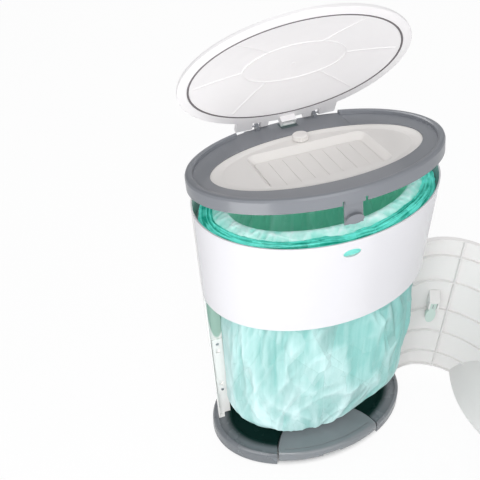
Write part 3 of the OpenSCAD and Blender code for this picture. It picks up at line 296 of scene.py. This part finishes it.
@dataclass(frozen=True)
class Moulding:
    """Moulded plastic or rubber: fine grain, faint mottle and softened edges."""

    name: str
    colour: Colour
    roughness: float = 0.4
    specular: float = 0.5
    mottle: float = 0.03
    grain_scale: float = 300.0
    grain_depth: float = 0.00002
    edge_mm: float = 0.7
    coat: float = 0.0
    # Painted light and shade laid over one region
    painted_light: PaintedLightPatch | None = None

    def build(self) -> bpy.types.Material:
        """Lays the material's nodes.

        Returns:
            The finished material.
        """
        nodes = NodeTree(self.name)
        shader = nodes.shader
        cloudy = nodes.span(nodes.grain(9, 3), 0, 1)
        pale, deep = shade(self.colour, 1 + self.mottle), shade(self.colour, 1 - self.mottle)
        tint = nodes.blend(cloudy, deep, pale)
        nodes.link(tint, shader.inputs["Base Color"])
        smear = nodes.span(nodes.grain(38, 4), self.roughness - 0.02, self.roughness + 0.03)
        nodes.link(smear, shader.inputs["Roughness"])
        shader.inputs["Specular IOR Level"].default_value = self.specular
        surface = None
        if self.edge_mm:
            rounded = nodes.add("Bevel", samples=8)
            rounded.inputs["Radius"].default_value = self.edge_mm * MM
            surface = rounded.outputs[0]
        if self.grain_depth:
            surface = nodes.bump(nodes.grain(self.grain_scale, 2), 0.3, self.grain_depth, surface)
        if surface:
            nodes.link(surface, shader.inputs["Normal"])
        shader.inputs["Coat Weight"].default_value = self.coat
        shader.inputs["Coat Roughness"].default_value = 0.12
        if self.painted_light:
            self.lay_painted_light(nodes, tint)
        return nodes.material

    def lay_painted_light(self, nodes: NodeTree, plain: bpy.types.NodeSocket) -> None:
        """Lays the painted light and shade over the plain colour.

        Args:
            nodes: The material's nodes.
            plain: The moulding's own colour.
        """
        share = nodes.near(self.painted_light.middle, self.painted_light.half)
        # Painted light and shade: the region takes the patch's colour instead of the plain one
        mixed = nodes.blend(share, self.colour, self.painted_light.colour)
        nodes.link(plain, mixed.node.inputs[1])
        nodes.link(mixed, nodes.shader.inputs["Base Color"])
        # Painted glow: the region glows in its own colour, as strong as the patch's glow
        nodes.link(mixed, nodes.shader.inputs["Emission Color"])
        nodes.link(nodes.times(share, self.painted_light.glow), nodes.shader.inputs["Emission Strength"])
        nodes.link(nodes.times(share, -self.coat, self.coat), nodes.shader.inputs["Coat Weight"])
        dull = nodes.times(share, -0.85 * self.specular, self.specular)
        nodes.link(dull, nodes.shader.inputs["Specular IOR Level"])


@dataclass(frozen=True)
class Steel:
    """Plated steel, drawn lengthwise."""

    name: str
    colour: Colour
    roughness: float = 0.28
    stretch: Point = (0.05, 1, 1)

    def build(self) -> bpy.types.Material:
        """Lays the material's nodes.

        Returns:
            The finished material.
        """
        nodes = NodeTree(self.name)
        shader = nodes.shader
        streaks = nodes.grain(900, 2, self.stretch)
        tint = nodes.blend(nodes.span(streaks, 0, 1), shade(self.colour, 0.85), self.colour)
        nodes.link(tint, shader.inputs["Base Color"])
        smear = nodes.span(streaks, self.roughness - 0.06, self.roughness + 0.1)
        nodes.link(smear, shader.inputs["Roughness"])
        nodes.link(nodes.bump(streaks, 0.2, 0.00003), shader.inputs["Normal"])
        shader.inputs["Metallic"].default_value = 1.0
        return nodes.material


@dataclass(frozen=True)
class Film:
    """Thin crumpled film: paler where stretched, deeper where folded, with painted shade and glow.
    """

    name: str
    stretched_and_lit: Colour
    folded_and_shaded: Colour
    # Painted glow: emission that lights the film as if light came through it
    glow: float = 0.1
    through: float = 0.1
    roughness: float = 0.3
    cell_scale: float = 13.0
    tilt: float = 0.5
    stretch: float = 0.4

    def build(self) -> bpy.types.Material:
        """Lays the material's nodes.

        Returns:
            The finished material.
        """
        nodes = NodeTree(self.name)
        shader = nodes.shader
        tone = nodes.add("Attribute", attribute_name="fold_and_shade").outputs["Fac"]
        surface = nodes.bump(nodes.grain(60, 4, (1, 1, self.stretch)), 0.4, 0.004)
        # Painted shade: each facet is drawn lighter or darker by its own random share
        for step, share in ((1.0, 1.0), (2.6, 0.6)):
            height, facet_shade = self.crumple(nodes, self.cell_scale * step)
            surface = nodes.bump(nodes.times(height, self.tilt * share), 1.0, 1.0, surface)
            tone = nodes.total(tone, nodes.times(facet_shade, 0.5 * share, -0.25 * share))
        tone = nodes.total(tone, nodes.span(nodes.grain(90, 2, (1, 1, 0.07)), -0.16, 0.16))
        tint = nodes.blend(tone, self.stretched_and_lit, self.folded_and_shaded)
        nodes.link(tint, shader.inputs["Base Color"])
        # Painted glow: the film glows in its own tint, as strong as its glow
        nodes.link(tint, shader.inputs["Emission Color"])
        nodes.link(surface, shader.inputs["Normal"])
        shader.inputs["Emission Strength"].default_value = self.glow
        shader.inputs["Roughness"].default_value = self.roughness
        shader.inputs["Specular IOR Level"].default_value = 0.35
        through = nodes.add("BsdfTranslucent")
        nodes.link(tint, through.inputs["Color"])
        nodes.link(surface, through.inputs["Normal"])
        mixed = nodes.add("MixShader")
        mixed.inputs[0].default_value = self.through
        nodes.link(shader.outputs[0], mixed.inputs[1])
        nodes.link(through.outputs[0], mixed.inputs[2])
        nodes.link(mixed.outputs[0], nodes.output.inputs["Surface"])
        return nodes.material

    def crumple(
        self, nodes: NodeTree, scale: float
    ) -> tuple[bpy.types.NodeSocket, bpy.types.NodeSocket]:
        """Adds flat facets that each lean their own way, as crumpled film does.

        Args:
            nodes: The material's nodes.
            scale: Facets per metre.

        Returns:
            The facets' height and a random share of each, which paints each facet's shade.
        """
        place = nodes.add("TexCoord")
        mapping = nodes.add("Mapping")
        mapping.inputs["Scale"].default_value = (1, 1, self.stretch)
        mapping.inputs["Rotation"].default_value = (0.01 * scale, -0.008 * scale, 0)
        nodes.link(place.outputs["Object"], mapping.inputs["Vector"])
        cells = nodes.add("TexVoronoi")
        cells.inputs["Scale"].default_value = scale
        nodes.link(mapping.outputs[0], cells.inputs["Vector"])
        off = nodes.add("VectorMath", operation="SUBTRACT")
        nodes.link(mapping.outputs[0], off.inputs[0])
        nodes.link(cells.outputs["Position"], off.inputs[1])
        lean = nodes.add("VectorMath", operation="SUBTRACT")
        lean.inputs[1].default_value = (0.5, 0.5, 0.5)
        nodes.link(cells.outputs["Color"], lean.inputs[0])
        height = nodes.add("VectorMath", operation="DOT_PRODUCT")
        nodes.link(off.outputs[0], height.inputs[0])
        nodes.link(lean.outputs[0], height.inputs[1])
        facet_shade = nodes.add("RGBToBW")
        nodes.link(cells.outputs["Color"], facet_shade.inputs[0])
        return height.outputs["Value"], facet_shade.outputs[0]


class Finish(Enum):
    """The finishes of the bin's pieces."""

    BAND_WHITE = Moulding(
        "band_white",
        linear(217, 216, 220),
        roughness=0.2,
        mottle=0.003,
        grain_depth=0,
        edge_mm=0,
        coat=0.3,
    )
    SHELL_WHITE = Moulding(
        "shell_white",
        linear(238, 236, 234),
        roughness=0.36,
        mottle=0.008,
        # Painted shade: above the keeper plate the upright return is drawn green-grey, for the
        # shaded hollow behind it that the film tints green
        painted_light=PaintedLightPatch((-0.1745, 0.006, 0.362), (0.0165, 0.02, 0.098), linear(160, 188, 176)),
    )
    # Painted shade: the shell's white drawn darker for the door, whose open inside takes strong
    # light
    DOOR_WHITE = Moulding("door_white", linear(224, 222, 221), roughness=0.36, mottle=0.008)
    CUTTER_CLEAR = Moulding("cutter_clear", linear(190, 208, 201), roughness=0.3, mottle=0.02)
    LID_WHITE = Moulding("lid_white", linear(240, 238, 239), roughness=0.42, mottle=0.01)
    HOPPER_WHITE = Moulding("hopper_white", linear(228, 225, 222), roughness=0.4, mottle=0.01)
    COLLAR_GREY = Moulding(
        "collar_grey",
        linear(122, 125, 131),
        roughness=0.3,
        mottle=0,
        grain_depth=0,
        edge_mm=0,
        coat=0.4,
    )
    SLATE = Moulding(
        "pedal_slate",
        linear(122, 126, 130),
        roughness=0.24,
        mottle=0.02,
        grain_depth=0,
        edge_mm=1.5,
        coat=0.5,
    )
    DECK = Moulding(
        "deck_slate",
        linear(106, 110, 115),
        roughness=0.26,
        mottle=0.02,
        grain_depth=0,
        edge_mm=1.5,
        coat=0.5,
        # Painted shade: the recessed deck is drawn in deep shade, tinted green as a painted
        # reflection of the bag
        painted_light=PaintedLightPatch((0, -0.016, 0.03), (0.168, 0.105, 4.0), (0.005, 0.022, 0.019)),
    )
    RUBBER = Moulding("dark_rubber", linear(62, 61, 64), roughness=0.7, specular=0.25)
    SEAL = Moulding("seal_line", linear(118, 113, 116), roughness=0.6, specular=0.3)
    CASSETTE_GREEN = Moulding(
        "cassette_green",
        linear(8, 104, 86),
        roughness=0.35,
        # Painted glow: a bright, glowing patch on the cassette, where the film shows lit through
        # the button window
        painted_light=PaintedLightPatch((0.035, -0.125, 0.537), (0.06, 0.05, 0.03), linear(150, 235, 226), 0.45),
    )
    STEEL = Steel("plated_steel", linear(196, 197, 202))
    # Painted glow: each film finish glows a little, as light coming through the film
    BAG_FILM = Film("bag_film", linear(208, 238, 238), linear(136, 194, 189), glow=0.05)
    # Painted shade: the neck hangs in the collar's shadow and is drawn greener than the bag
    NECK_FILM = Film(
        "neck_film",
        linear(196, 250, 236),
        linear(138, 230, 202),
        glow=0.1,
        tilt=0.2,
        stretch=0.1,
    )
    # Painted glow: the cuff glows more, lifting it out of the collar's shadow
    CUFF_FILM = Film(
        "cuff_film",
        linear(222, 248, 246),
        linear(146, 222, 210),
        glow=0.2,
        cell_scale=22,
        tilt=0.3,
    )
    # Painted glow: the gathered stock glows brightest, lifting it out of the collar's shadow
    STOCK_FILM = Film(
        "stock_film",
        linear(116, 244, 228),
        linear(0, 150, 128),
        glow=0.25,
        cell_scale=30,
        tilt=0.15,
    )


class Wardrobe:
    """Builds each finish once and puts it on pieces."""

    def __init__(self) -> None:
        """Starts with no finish built."""
        self.built: dict[Finish, bpy.types.Material] = {}

    def dress(self, piece: bpy.types.Object, finish: Finish) -> bpy.types.Object:
        """Gives a piece its finish.

        Args:
            piece: The mesh object.
            finish: The finish it gets.

        Returns:
            The same piece.
        """
        if finish not in self.built:
            self.built[finish] = finish.value.build()
        piece.data.materials.clear()
        piece.data.materials.append(self.built[finish])
        return piece


def sheet_mesh(
    name: str,
    rows: int,
    columns: int,
    place: Callable[[float, float], tuple[Point, float]],
) -> bpy.types.Object:
    """Builds a sheet that closes on itself round the bin.

    Args:
        name: The piece's name.
        rows: Quads from the first edge to the last.
        columns: Quads round the bin.
        place: Gives a point and its fold-and-shade value, from the share along and the angle round.

    Returns:
        The new object.
    """
    points: list[Point] = []
    folds_and_shades: list[float] = []
    for i in range(rows + 1):
        for j in range(columns):
            point, fold_and_shade = place(i / rows, 2 * math.pi * j / columns)
            points.append(point)
            folds_and_shades.append(fold_and_shade)
    faces = [
        (
            i * columns + j,
            i * columns + (j + 1) % columns,
            (i + 1) * columns + (j + 1) % columns,
            (i + 1) * columns + j,
        )
        for i in range(rows)
        for j in range(columns)
    ]
    mesh = bpy.data.meshes.new(name)
    mesh.from_pydata(points, [], faces)
    attribute = mesh.attributes.new("fold_and_shade", "FLOAT", "POINT")
    attribute.data.foreach_set("value", folds_and_shades)
    mesh.shade_smooth()
    piece = bpy.data.objects.new(name, mesh)
    bpy.context.scene.collection.objects.link(piece)
    return piece


def through(knots: list[tuple[float, ...]], at: float) -> list[float]:
    """Reads a smooth curve through knots whose first number rises.

    Args:
        knots: Rows of numbers, with the place first.
        at: The place to read.

    Returns:
        The other numbers at that place.
    """
    if at <= knots[0][0]:
        return list(knots[0][1:])
    if at >= knots[-1][0]:
        return list(knots[-1][1:])
    k = max(i for i in range(len(knots) - 1) if knots[i][0] <= at)
    low, high = knots[k], knots[k + 1]
    before = knots[max(k - 1, 0)]
    after = knots[min(k + 2, len(knots) - 1)]
    gap = high[0] - low[0]
    t = (at - low[0]) / gap
    out = []
    for c in range(1, len(low)):
        rise_low = (high[c] - before[c]) / (high[0] - before[0]) * gap
        rise_high = (after[c] - low[c]) / (after[0] - low[0]) * gap
        out.append(
            (2 * t**3 - 3 * t**2 + 1) * low[c]
            + (t**3 - 2 * t**2 + t) * rise_low
            + (3 * t**2 - 2 * t**3) * high[c]
            + (t**3 - t**2) * rise_high
        )
    return out


def crease(x: float, y: float, seed: float) -> float:
    """A folded noise with sharp ridges.

    Args:
        x: First place, in folds.
        y: Second place, in folds.
        seed: Picks the pattern.

    Returns:
        A value from 0 in a valley to 1 on a ridge.
    """
    return 1 - min(1.0, abs(noise.noise(Vector((x, y, seed)))) * 2.4)


@dataclass(frozen=True)
class Facet:
    """A flat place in the film, as the plane that trims the bag."""

    normal: Vector
    reach: float


@dataclass
class FilmBag:
    """The bag of film that hangs from the cassette's throat and rests on the pedal.

    It is made as a neck behind the band and a full lower part.
    """

    rows: int = 190
    columns: int = 420
    # Height, left and right reach, front and back reach and squareness of each level
    levels_mm: list[tuple[float, ...]] = field(
        default_factory=lambda: [
            (35.5, -70, 30, -70, 20, 2.0),
            (37, -102, 68, -88, 44, 2.0),
            (48, -126, 114, -99, 58, 2.2),
            (78, -152, 153, -106, 70, 2.6),
            (120, -169, 173, -111, 79, 2.9),
            (180, -173, 174, -115, 85, 3.1),
            (250, -174, 178, -117, 87, 3.3),
            (330, -172, 175, -116, 87, 3.4),
            (384, -166, 169, -111, 86, 3.0),
            (470, -159, 160, -99, 85, 2.3),
            (529, -151, 151, -89, 74, 2.0),
            (574, -151.5, 151.5, -89.5, 73.5, 2.0),
        ]
    )
    seam_mm: float = 400.0
    facets: int = 64
    heart_mm: Point = (0, -14, 190)
    # Half the gap between the upright returns at the foot, and how much it widens with height
    gap_mm: tuple[float, float] = (151.5, 0.0434)
    gap_foot_mm: float = 30.0
    # How much further the film may reach in front of the returns, and over what depth it gets there
    door_room_mm: tuple[float, float] = (44.0, 34.0)
    # Heights over which the full lower part turns into the upright folds below the neck
    hang_mm: tuple[float, float] = (150.0, 170.0)
    # Height over which the film is free of the rim that holds it smooth
    rim_free_mm: float = 50.0
    # Depth of the shallowest flat place, and how much the deepest one adds
    flat_mm: tuple[float, float] = (2.5, 4.5)
    closed_share: float = 0.62
    planes: list[Facet] = field(default_factory=list)

    def build(self, wardrobe: Wardrobe) -> list[bpy.types.Object]:
        """Lofts the bag, folds it and hangs it on the bin.

        Args:
            wardrobe: Where finishes come from.

        Returns:
            The neck and the lower part.
        """
        self.planes = [self.facet(k) for k in range(self.facets)]
        top, low = self.levels_mm[-1][0], self.levels_mm[0][0]
        neck = sheet_mesh("film_bag_neck", 70, self.columns, self.between(top, self.seam_mm - 8))
        lower = sheet_mesh("film_bag", self.rows, self.columns, self.between(self.seam_mm, low))
        for piece, finish in ((neck, Finish.NECK_FILM), (lower, Finish.BAG_FILM)):
            wardrobe.dress(piece, finish)
            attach(piece, "bin")
        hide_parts("liner_bag")
        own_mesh(lower)
        return [neck, lower]

    def between(self, start: float, end: float) -> Callable[[float, float], tuple[Point, float]]:
        """The film's points between two heights, closer together at the bottom.

        Args:
            start: Height of the first row in millimetres.
            end: Height of the last row in millimetres.

        Returns:
            A function of the share along and the angle round.
        """

        def place(along: float, angle: float) -> tuple[Point, float]:
            """Places one point of the film."""
            return self.point(start + (end - start) * (1 - (1 - along) ** 1.2), angle)

        return place

    def smooth(self, z: float, angle: float) -> Vector:
        """The unfolded bag at a height and an angle round it.

        Args:
            z: Height in millimetres.
            angle: Angle round the bag in radians.

        Returns:
            The point in millimetres.
        """
        left, right, front, back, square = through(self.levels_mm, z)
        c, s = math.cos(angle), math.sin(angle)
        x = math.copysign(abs(c) ** (2 / square), c)
        y = math.copysign(abs(s) ** (2 / square), s)
        mid_x, mid_y = (left + right) / 2, (front + back) / 2
        return Vector((mid_x + (right - left) / 2 * x, mid_y + (back - front) / 2 * y, z))

    def between_returns(self, place: Vector) -> Vector:
        """Holds a point in between the body's upright returns, behind the door's edge.

        Args:
            place: The point in millimetres, which is moved.

        Returns:
            The same point.
        """
        room, depth = self.door_room_mm
        reach = self.gap_mm[0] + (place.z - self.gap_foot_mm) * self.gap_mm[1]
        reach += clamp(-place.y / depth) * room
        place.x = max(-reach, min(reach, place.x))
        return place

    def facet(self, k: int) -> Facet:
        """Picks one flat place on the lower part.

        Args:
            k: Number of the flat place.

        Returns:
            Its plane, as a normal and its distance from the bag's heart.
        """
        angle = k * GOLDEN_TURN
        z = 44 + 250 * ((k * GOLDEN_SHARE) % 1) ** 1.15
        here = self.smooth(z, angle)
        along = self.smooth(z, angle + 0.02) - here
        up = self.smooth(z + 4, angle) - here
        normal = along.cross(up).normalized()
        sway = (noise.noise(Vector((k, 1.5, 0))), noise.noise(Vector((k, 4.5, 0))), 0)
        normal += Vector(sway) * 0.22
        normal.normalize()
        depth = self.flat_mm[0] + self.flat_mm[1] * abs(noise.noise(Vector((k * 1.7, 0.3, 2))))
        return Facet(normal, (here - Vector(self.heart_mm)).dot(normal) - depth)

    def point(self, z: float, angle: float) -> tuple[Point, float]:
        """One point of the bag and how folded and how shaded the film is drawn there.

        Args:
            z: Height in millimetres.
            angle: Angle round the bag in radians.

        Returns:
            The point in metres and the fold-and-shade value from 0 to 1.
        """
        heart = Vector(self.heart_mm)
        out = self.smooth(z, angle) - heart
        cuts = [p.reach / out.dot(p.normal) for p in self.planes if out.dot(p.normal) > p.reach]
        here = heart + out * min([1.0, *cuts])
        c, s = math.cos(angle), math.sin(angle)
        hung = clamp((z - self.hang_mm[0]) / self.hang_mm[1])
        low = 1 - hung
        free = clamp((self.levels_mm[-1][0] - z) / self.rim_free_mm)
        lobe = crease(c * 3.1 + 3, s * 3.1 + z / 420, z / 300)
        pleat = crease(c * 7.5 + z / 210, s * 7.5, z / 330 + 4)
        slant = crease(c * 3.6 + z / 95, s * 3.6 - z / 120, 11.2)
        sharp = crease(c * 6.2 - z / 75, s * 6.2 + z / 60, 17.4)
        inward = free * (
            (1 - lobe) * (7.5 * hung + 2.5)
            + (1 - pleat) * (3.2 * hung + 0.6)
            + (1 - slant) * 3.2 * low
            + (1 - sharp) * 1.6
        )
        flat = Vector((here.x, here.y - heart.y, 0.55 * (here.z - heart.z) * low))
        loose = min(1.0, 0.25 + 1.1 * abs(s))
        here -= flat.normalized() * inward * loose * min(1.0, flat.length / 60)
        here = self.between_returns(here)
        # The film is drawn deeper in the valleys of its creases, for the folded film and as painted
        # shade
        fold_and_shade = 0.5 * (1 - lobe) + 0.35 * (1 - pleat) * hung
        fold_and_shade += 0.35 * (1 - slant) * low + 0.2 * (1 - sharp)
        # Painted shade and light: the film is drawn deeper where it hangs and at the hinge side,
        # and paler low down
        fold_and_shade += 0.42 * hung - 0.2 * low + 0.3 * here.x / 170
        height = max(here.z, self.levels_mm[0][0])
        return (here.x * MM, here.y * MM, height * MM), clamp(fold_and_shade)


@dataclass
class GatheredStock:
    """The gathered film in the cassette, a crumpled rope of many folds."""

    rows: int = 72
    columns: int = 420
    half_w_mm: float = 184.0
    half_d_mm: float = 107.0
    middle_mm: float = -8.0
    height_mm: float = 563.0
    radius_mm: float = 13.5
    # Angles round the bin of the knot that is tied in the film and of the latch's tongue
    knot_at: float = 4.97
    tongue_at: float = 4.712

    def build(self, wardrobe: Wardrobe) -> bpy.types.Object:
        """Makes the gathered ring.

        Args:
            wardrobe: Where finishes come from.

        Returns:
            The ring.
        """
        ring = sheet_mesh("film_stock", self.rows, self.columns, self.point)
        wardrobe.dress(ring, Finish.STOCK_FILM)
        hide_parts("liner_stock")
        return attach(ring, "bin")

    def point(self, share: float, angle: float) -> tuple[Point, float]:
        """One point of the ring's folded section.

        Args:
            share: Share of the way round the section.
            angle: Angle round the bin in radians.

        Returns:
            The point in metres and its fold-and-shade value.
        """
        c, s = math.cos(angle), math.sin(angle)
        turn = share * math.tau
        strand = crease(turn * 2.9 + 0.5 * math.sin(angle * 4), angle * 1.5, 2.1)
        small = crease(turn * 6.5 + 0.8 * math.sin(angle * 9), angle * 4, 5.7)
        knot = math.exp(-(((angle - self.knot_at) / 0.07) ** 2))
        tongue = math.exp(-(((angle - self.tongue_at) / 0.12) ** 4))
        full = 0.76 + 0.24 * strand + 0.1 * small - 0.15 * knot - 0.25 * tongue
        radius = self.radius_mm * full
        out = radius * math.cos(turn)
        up = radius * math.sin(turn) + 1.2 * math.sin(angle * 7 + 1.3)
        x = (self.half_w_mm + out) * c
        y = self.middle_mm + (self.half_d_mm + out) * s
        # The valleys between strands are drawn deeper, for the stacked film and as painted shade
        fold_and_shade = min(1.0, 1.1 - strand * 0.9 - small * 0.35)
        return (x * MM, y * MM, (self.height_mm + up) * MM), fold_and_shade


@dataclass
class FilmCuff:
    """The film pulled from the gathered stock over the throat's rim."""

    rows: int = 46
    columns: int = 480
    # Half width, half depth and height of the film's way from the stock over the rim and down
    way_mm: list[tuple[float, ...]] = field(
        default_factory=lambda: [
            (0.0, 179, 102, 566),
            (0.2, 173, 97.5, 573.5),
            (0.45, 163, 90.5, 579),
            (0.62, 155.8, 85.8, 579.5),
            (0.72, 152.6, 82.6, 577.0),
            (0.85, 152.0, 82.0, 566.0),
            (1.0, 151.6, 81.6, 552.0),
        ]
    )
    middle_mm: float = -8.0

    def build(self, wardrobe: Wardrobe) -> bpy.types.Object:
        """Makes the cuff.

        Args:
            wardrobe: Where finishes come from.

        Returns:
            The cuff.
        """
        cuff = sheet_mesh("film_cuff", self.rows, self.columns, self.point)
        wardrobe.dress(cuff, Finish.CUFF_FILM)
        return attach(cuff, "bin")

    def point(self, share: float, angle: float) -> tuple[Point, float]:
        """One point of the cuff.

        Args:
            share: Share of the way from the stock to the throat.
            angle: Angle round the bin in radians.

        Returns:
            The point in metres and its fold-and-shade value.
        """
        half_w, half_d, z = through(self.way_mm, share)
        c, s = math.cos(angle), math.sin(angle)
        pleat = crease(c * 11, s * 11, share * 1.5)
        slant = crease(angle * 4 + share * 2.2, share * 1.2, 3.3)
        free = max(0.0, 1 - abs(share - 0.35) / 0.4)
        lift = free * (2.2 * (pleat - 0.5) + 1.8 * (slant - 0.5))
        x = half_w * c
        y = self.middle_mm + half_d * s
        # The valleys of the pleats are drawn deeper, for the stacked film and as painted shade
        fold_and_shade = min(1.0, 0.75 - 0.4 * pleat - 0.3 * slant + 0.5 * (1 - share) ** 3)
        return (x * MM, y * MM, (z + lift) * MM), fold_and_shade


@dataclass
class RigidPieces:
    """The CAD pieces that keep their own shape, with the finish of each."""

    finishes: dict[Finish, tuple[str, ...]] = field(
        default_factory=lambda: {
            Finish.BAND_WHITE: ("front_band",),
            Finish.SHELL_WHITE: ("rear_shell", "support_ring", "rod_guides", "keeper_plate"),
            Finish.DOOR_WHITE: ("door", "cutter_bracket"),
            Finish.CUTTER_CLEAR: ("cutter",),
            Finish.LID_WHITE: ("lid_shell", "lid_panel"),
            Finish.HOPPER_WHITE: ("hopper_plate", "trap_door", "knob"),
            Finish.COLLAR_GREY: ("collar", "latch"),
            Finish.SLATE: ("pedal", "pedal_lever"),
            Finish.DECK: ("base_tray",),
            Finish.RUBBER: ("base_feet", "rod_cap"),
            Finish.SEAL: ("lid_seal",),
            Finish.CASSETTE_GREEN: ("liner_cassette",),
            Finish.STEEL: (
                "keeper_screws",
                "hopper_screws",
                "pedal_axle",
                "pedal_spring",
                "door_hinge_pins",
                "collar_hinge_pin",
                "lid_hinge_pins",
                "trap_pin",
                "trap_spring",
                "cutter_pin",
                "cutter_blade",
                "push_rod",
            ),
        }
    )

    def build(self, wardrobe: Wardrobe, nodes: dict[str, bpy.types.Object]) -> None:
        """Dresses every rigid piece.

        Args:
            wardrobe: Where finishes come from.
            nodes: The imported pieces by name.
        """
        for finish, names in self.finishes.items():
            for name in names:
                wardrobe.dress(nodes[name], finish)
                log.info("%s dressed in %s", name, finish.value.name)


@dataclass(frozen=True)
class Lamp:
    """A soft square lamp."""

    name: str
    place: Point
    size: float
    watts: float

    def hang(self, aim: Point) -> None:
        """Hangs the lamp so that it faces a point.

        Args:
            aim: The point it faces.
        """
        data = bpy.data.lights.new(self.name, "AREA")
        data.size = self.size
        data.energy = self.watts
        lamp = bpy.data.objects.new(self.name, data)
        lamp.location = self.place
        facing = Vector(aim) - Vector(self.place)
        lamp.rotation_euler = facing.to_track_quat("-Z", "Y").to_euler()
        bpy.context.scene.collection.objects.link(lamp)


@dataclass
class Studio:
    """Pale floor, soft lamps and the camera of the photograph."""

    eye: Point = (-0.4621, -0.9709, 1.5183)
    right: Point = (0.9381, -0.3463, 0.0)
    up: Point = (0.2413, 0.6537, 0.7173)
    back: Point = (-0.2483, -0.6729, 0.6968)
    lens_mm: float = 67.29
    shift: tuple[float, float] = (-0.0337, -0.0167)
    sensor_mm: float = 36.0
    floor_half: float = 6.0
    floor_glow: float = 0.93
    # The floor under the base, which keeps its own shade
    base_middle: Point = (0, -0.016, 0)
    base_half: Point = (0.188, 0.122, 1)
    room_light: float = 0.4
    aim: Point = (0.0, 0.0, 0.35)
    lamps: tuple[Lamp, ...] = (
        Lamp("key", (-0.9, -1.6, 2.2), 1.3, 31),
        Lamp("front", (0.2, -2.4, 1.0), 1.6, 14),
        Lamp("low", (-1.0, -0.9, 0.35), 0.8, 5.6),
        Lamp("side", (2.0, -1.2, 1.7), 1.4, 8),
        Lamp("back", (0.4, 1.6, 2.0), 1.2, 16),
    )

    def build(self) -> None:
        """Sets floor, world, lamps and camera."""
        self.floor()
        self.world()
        for lamp in self.lamps:
            lamp.hang(self.aim)
        self.camera()
        bpy.context.scene.view_settings.view_transform = "Standard"

    def floor(self) -> None:
        """Lays the pale floor, which keeps a faint shadow and its own shade under the base."""
        half = self.floor_half
        corners = [(-half, -half, 0), (half, -half, 0), (half, half, 0), (-half, half, 0)]
        mesh = bpy.data.meshes.new("floor")
        mesh.from_pydata(corners, [], [(0, 1, 2, 3)])
        floor = bpy.data.objects.new("floor", mesh)
        bpy.context.scene.collection.objects.link(floor)
        nodes = NodeTree("pale_floor")
        cloudy = nodes.span(nodes.grain(3, 2), 0, 1)
        tint = nodes.blend(cloudy, (0.86, 0.86, 0.87), (0.9, 0.9, 0.9))
        nodes.link(tint, nodes.shader.inputs["Base Color"])
        nodes.shader.inputs["Roughness"].default_value = 0.8
        glow = nodes.add("Emission")
        glow.inputs["Color"].default_value = (1, 1, 1, 1)
        path = nodes.add("LightPath")
        under = nodes.near(self.base_middle, self.base_half)
        open_floor = nodes.times(under, -self.floor_glow, self.floor_glow)
        share = nodes.add("Math", operation="MULTIPLY")
        nodes.link(path.outputs["Is Camera Ray"], share.inputs[0])
        nodes.link(open_floor, share.inputs[1])
        mixed = nodes.add("MixShader")
        nodes.link(share.outputs[0], mixed.inputs[0])
        nodes.link(nodes.shader.outputs[0], mixed.inputs[1])
        nodes.link(glow.outputs[0], mixed.inputs[2])
        nodes.link(mixed.outputs[0], nodes.output.inputs["Surface"])
        mesh.materials.append(nodes.material)

    def world(self) -> None:
        """Fills the room with even light, plain white to the camera."""
        world = bpy.data.worlds.new("studio")
        bpy.context.scene.world = world
        world.use_nodes = True
        tree = world.node_tree
        tree.nodes.clear()
        light = tree.nodes.new("ShaderNodeBackground")
        light.inputs["Color"].default_value = (0.98, 0.99, 1.0, 1)
        light.inputs["Strength"].default_value = self.room_light
        white = tree.nodes.new("ShaderNodeBackground")
        white.inputs["Strength"].default_value = 1.0
        white.inputs["Color"].default_value = (1, 1, 1, 1)
        path = tree.nodes.new("ShaderNodeLightPath")
        mixed = tree.nodes.new("ShaderNodeMixShader")
        out = tree.nodes.new("ShaderNodeOutputWorld")
        tree.links.new(path.outputs["Is Camera Ray"], mixed.inputs[0])
        tree.links.new(light.outputs[0], mixed.inputs[1])
        tree.links.new(white.outputs[0], mixed.inputs[2])
        tree.links.new(mixed.outputs[0], out.inputs["Surface"])

    def camera(self) -> None:
        """Sets the camera at the photograph's viewing angle."""
        data = bpy.data.cameras.new("camera")
        data.lens = self.lens_mm
        data.sensor_width = self.sensor_mm
        data.shift_x, data.shift_y = self.shift
        camera = bpy.data.objects.new("camera", data)
        turn = Matrix((self.right, self.up, self.back)).transposed().to_4x4()
        camera.matrix_world = Matrix.Translation(self.eye) @ turn
        bpy.context.scene.collection.objects.link(camera)
        bpy.context.scene.camera = camera


def main() -> None:
    """Builds the scene in order."""
    logging.basicConfig(level=logging.INFO)
    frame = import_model()
    wardrobe = Wardrobe()
    Studio().build()
    RigidPieces().build(wardrobe, frame["nodes"])
    films = FilmBag().build(wardrobe)
    films += [GatheredStock().build(wardrobe), FilmCuff().build(wardrobe)]
    for piece in films:
        log.info("%s built with %d points", piece.name, len(piece.data.vertices))


if __name__ == "__main__":
    main()
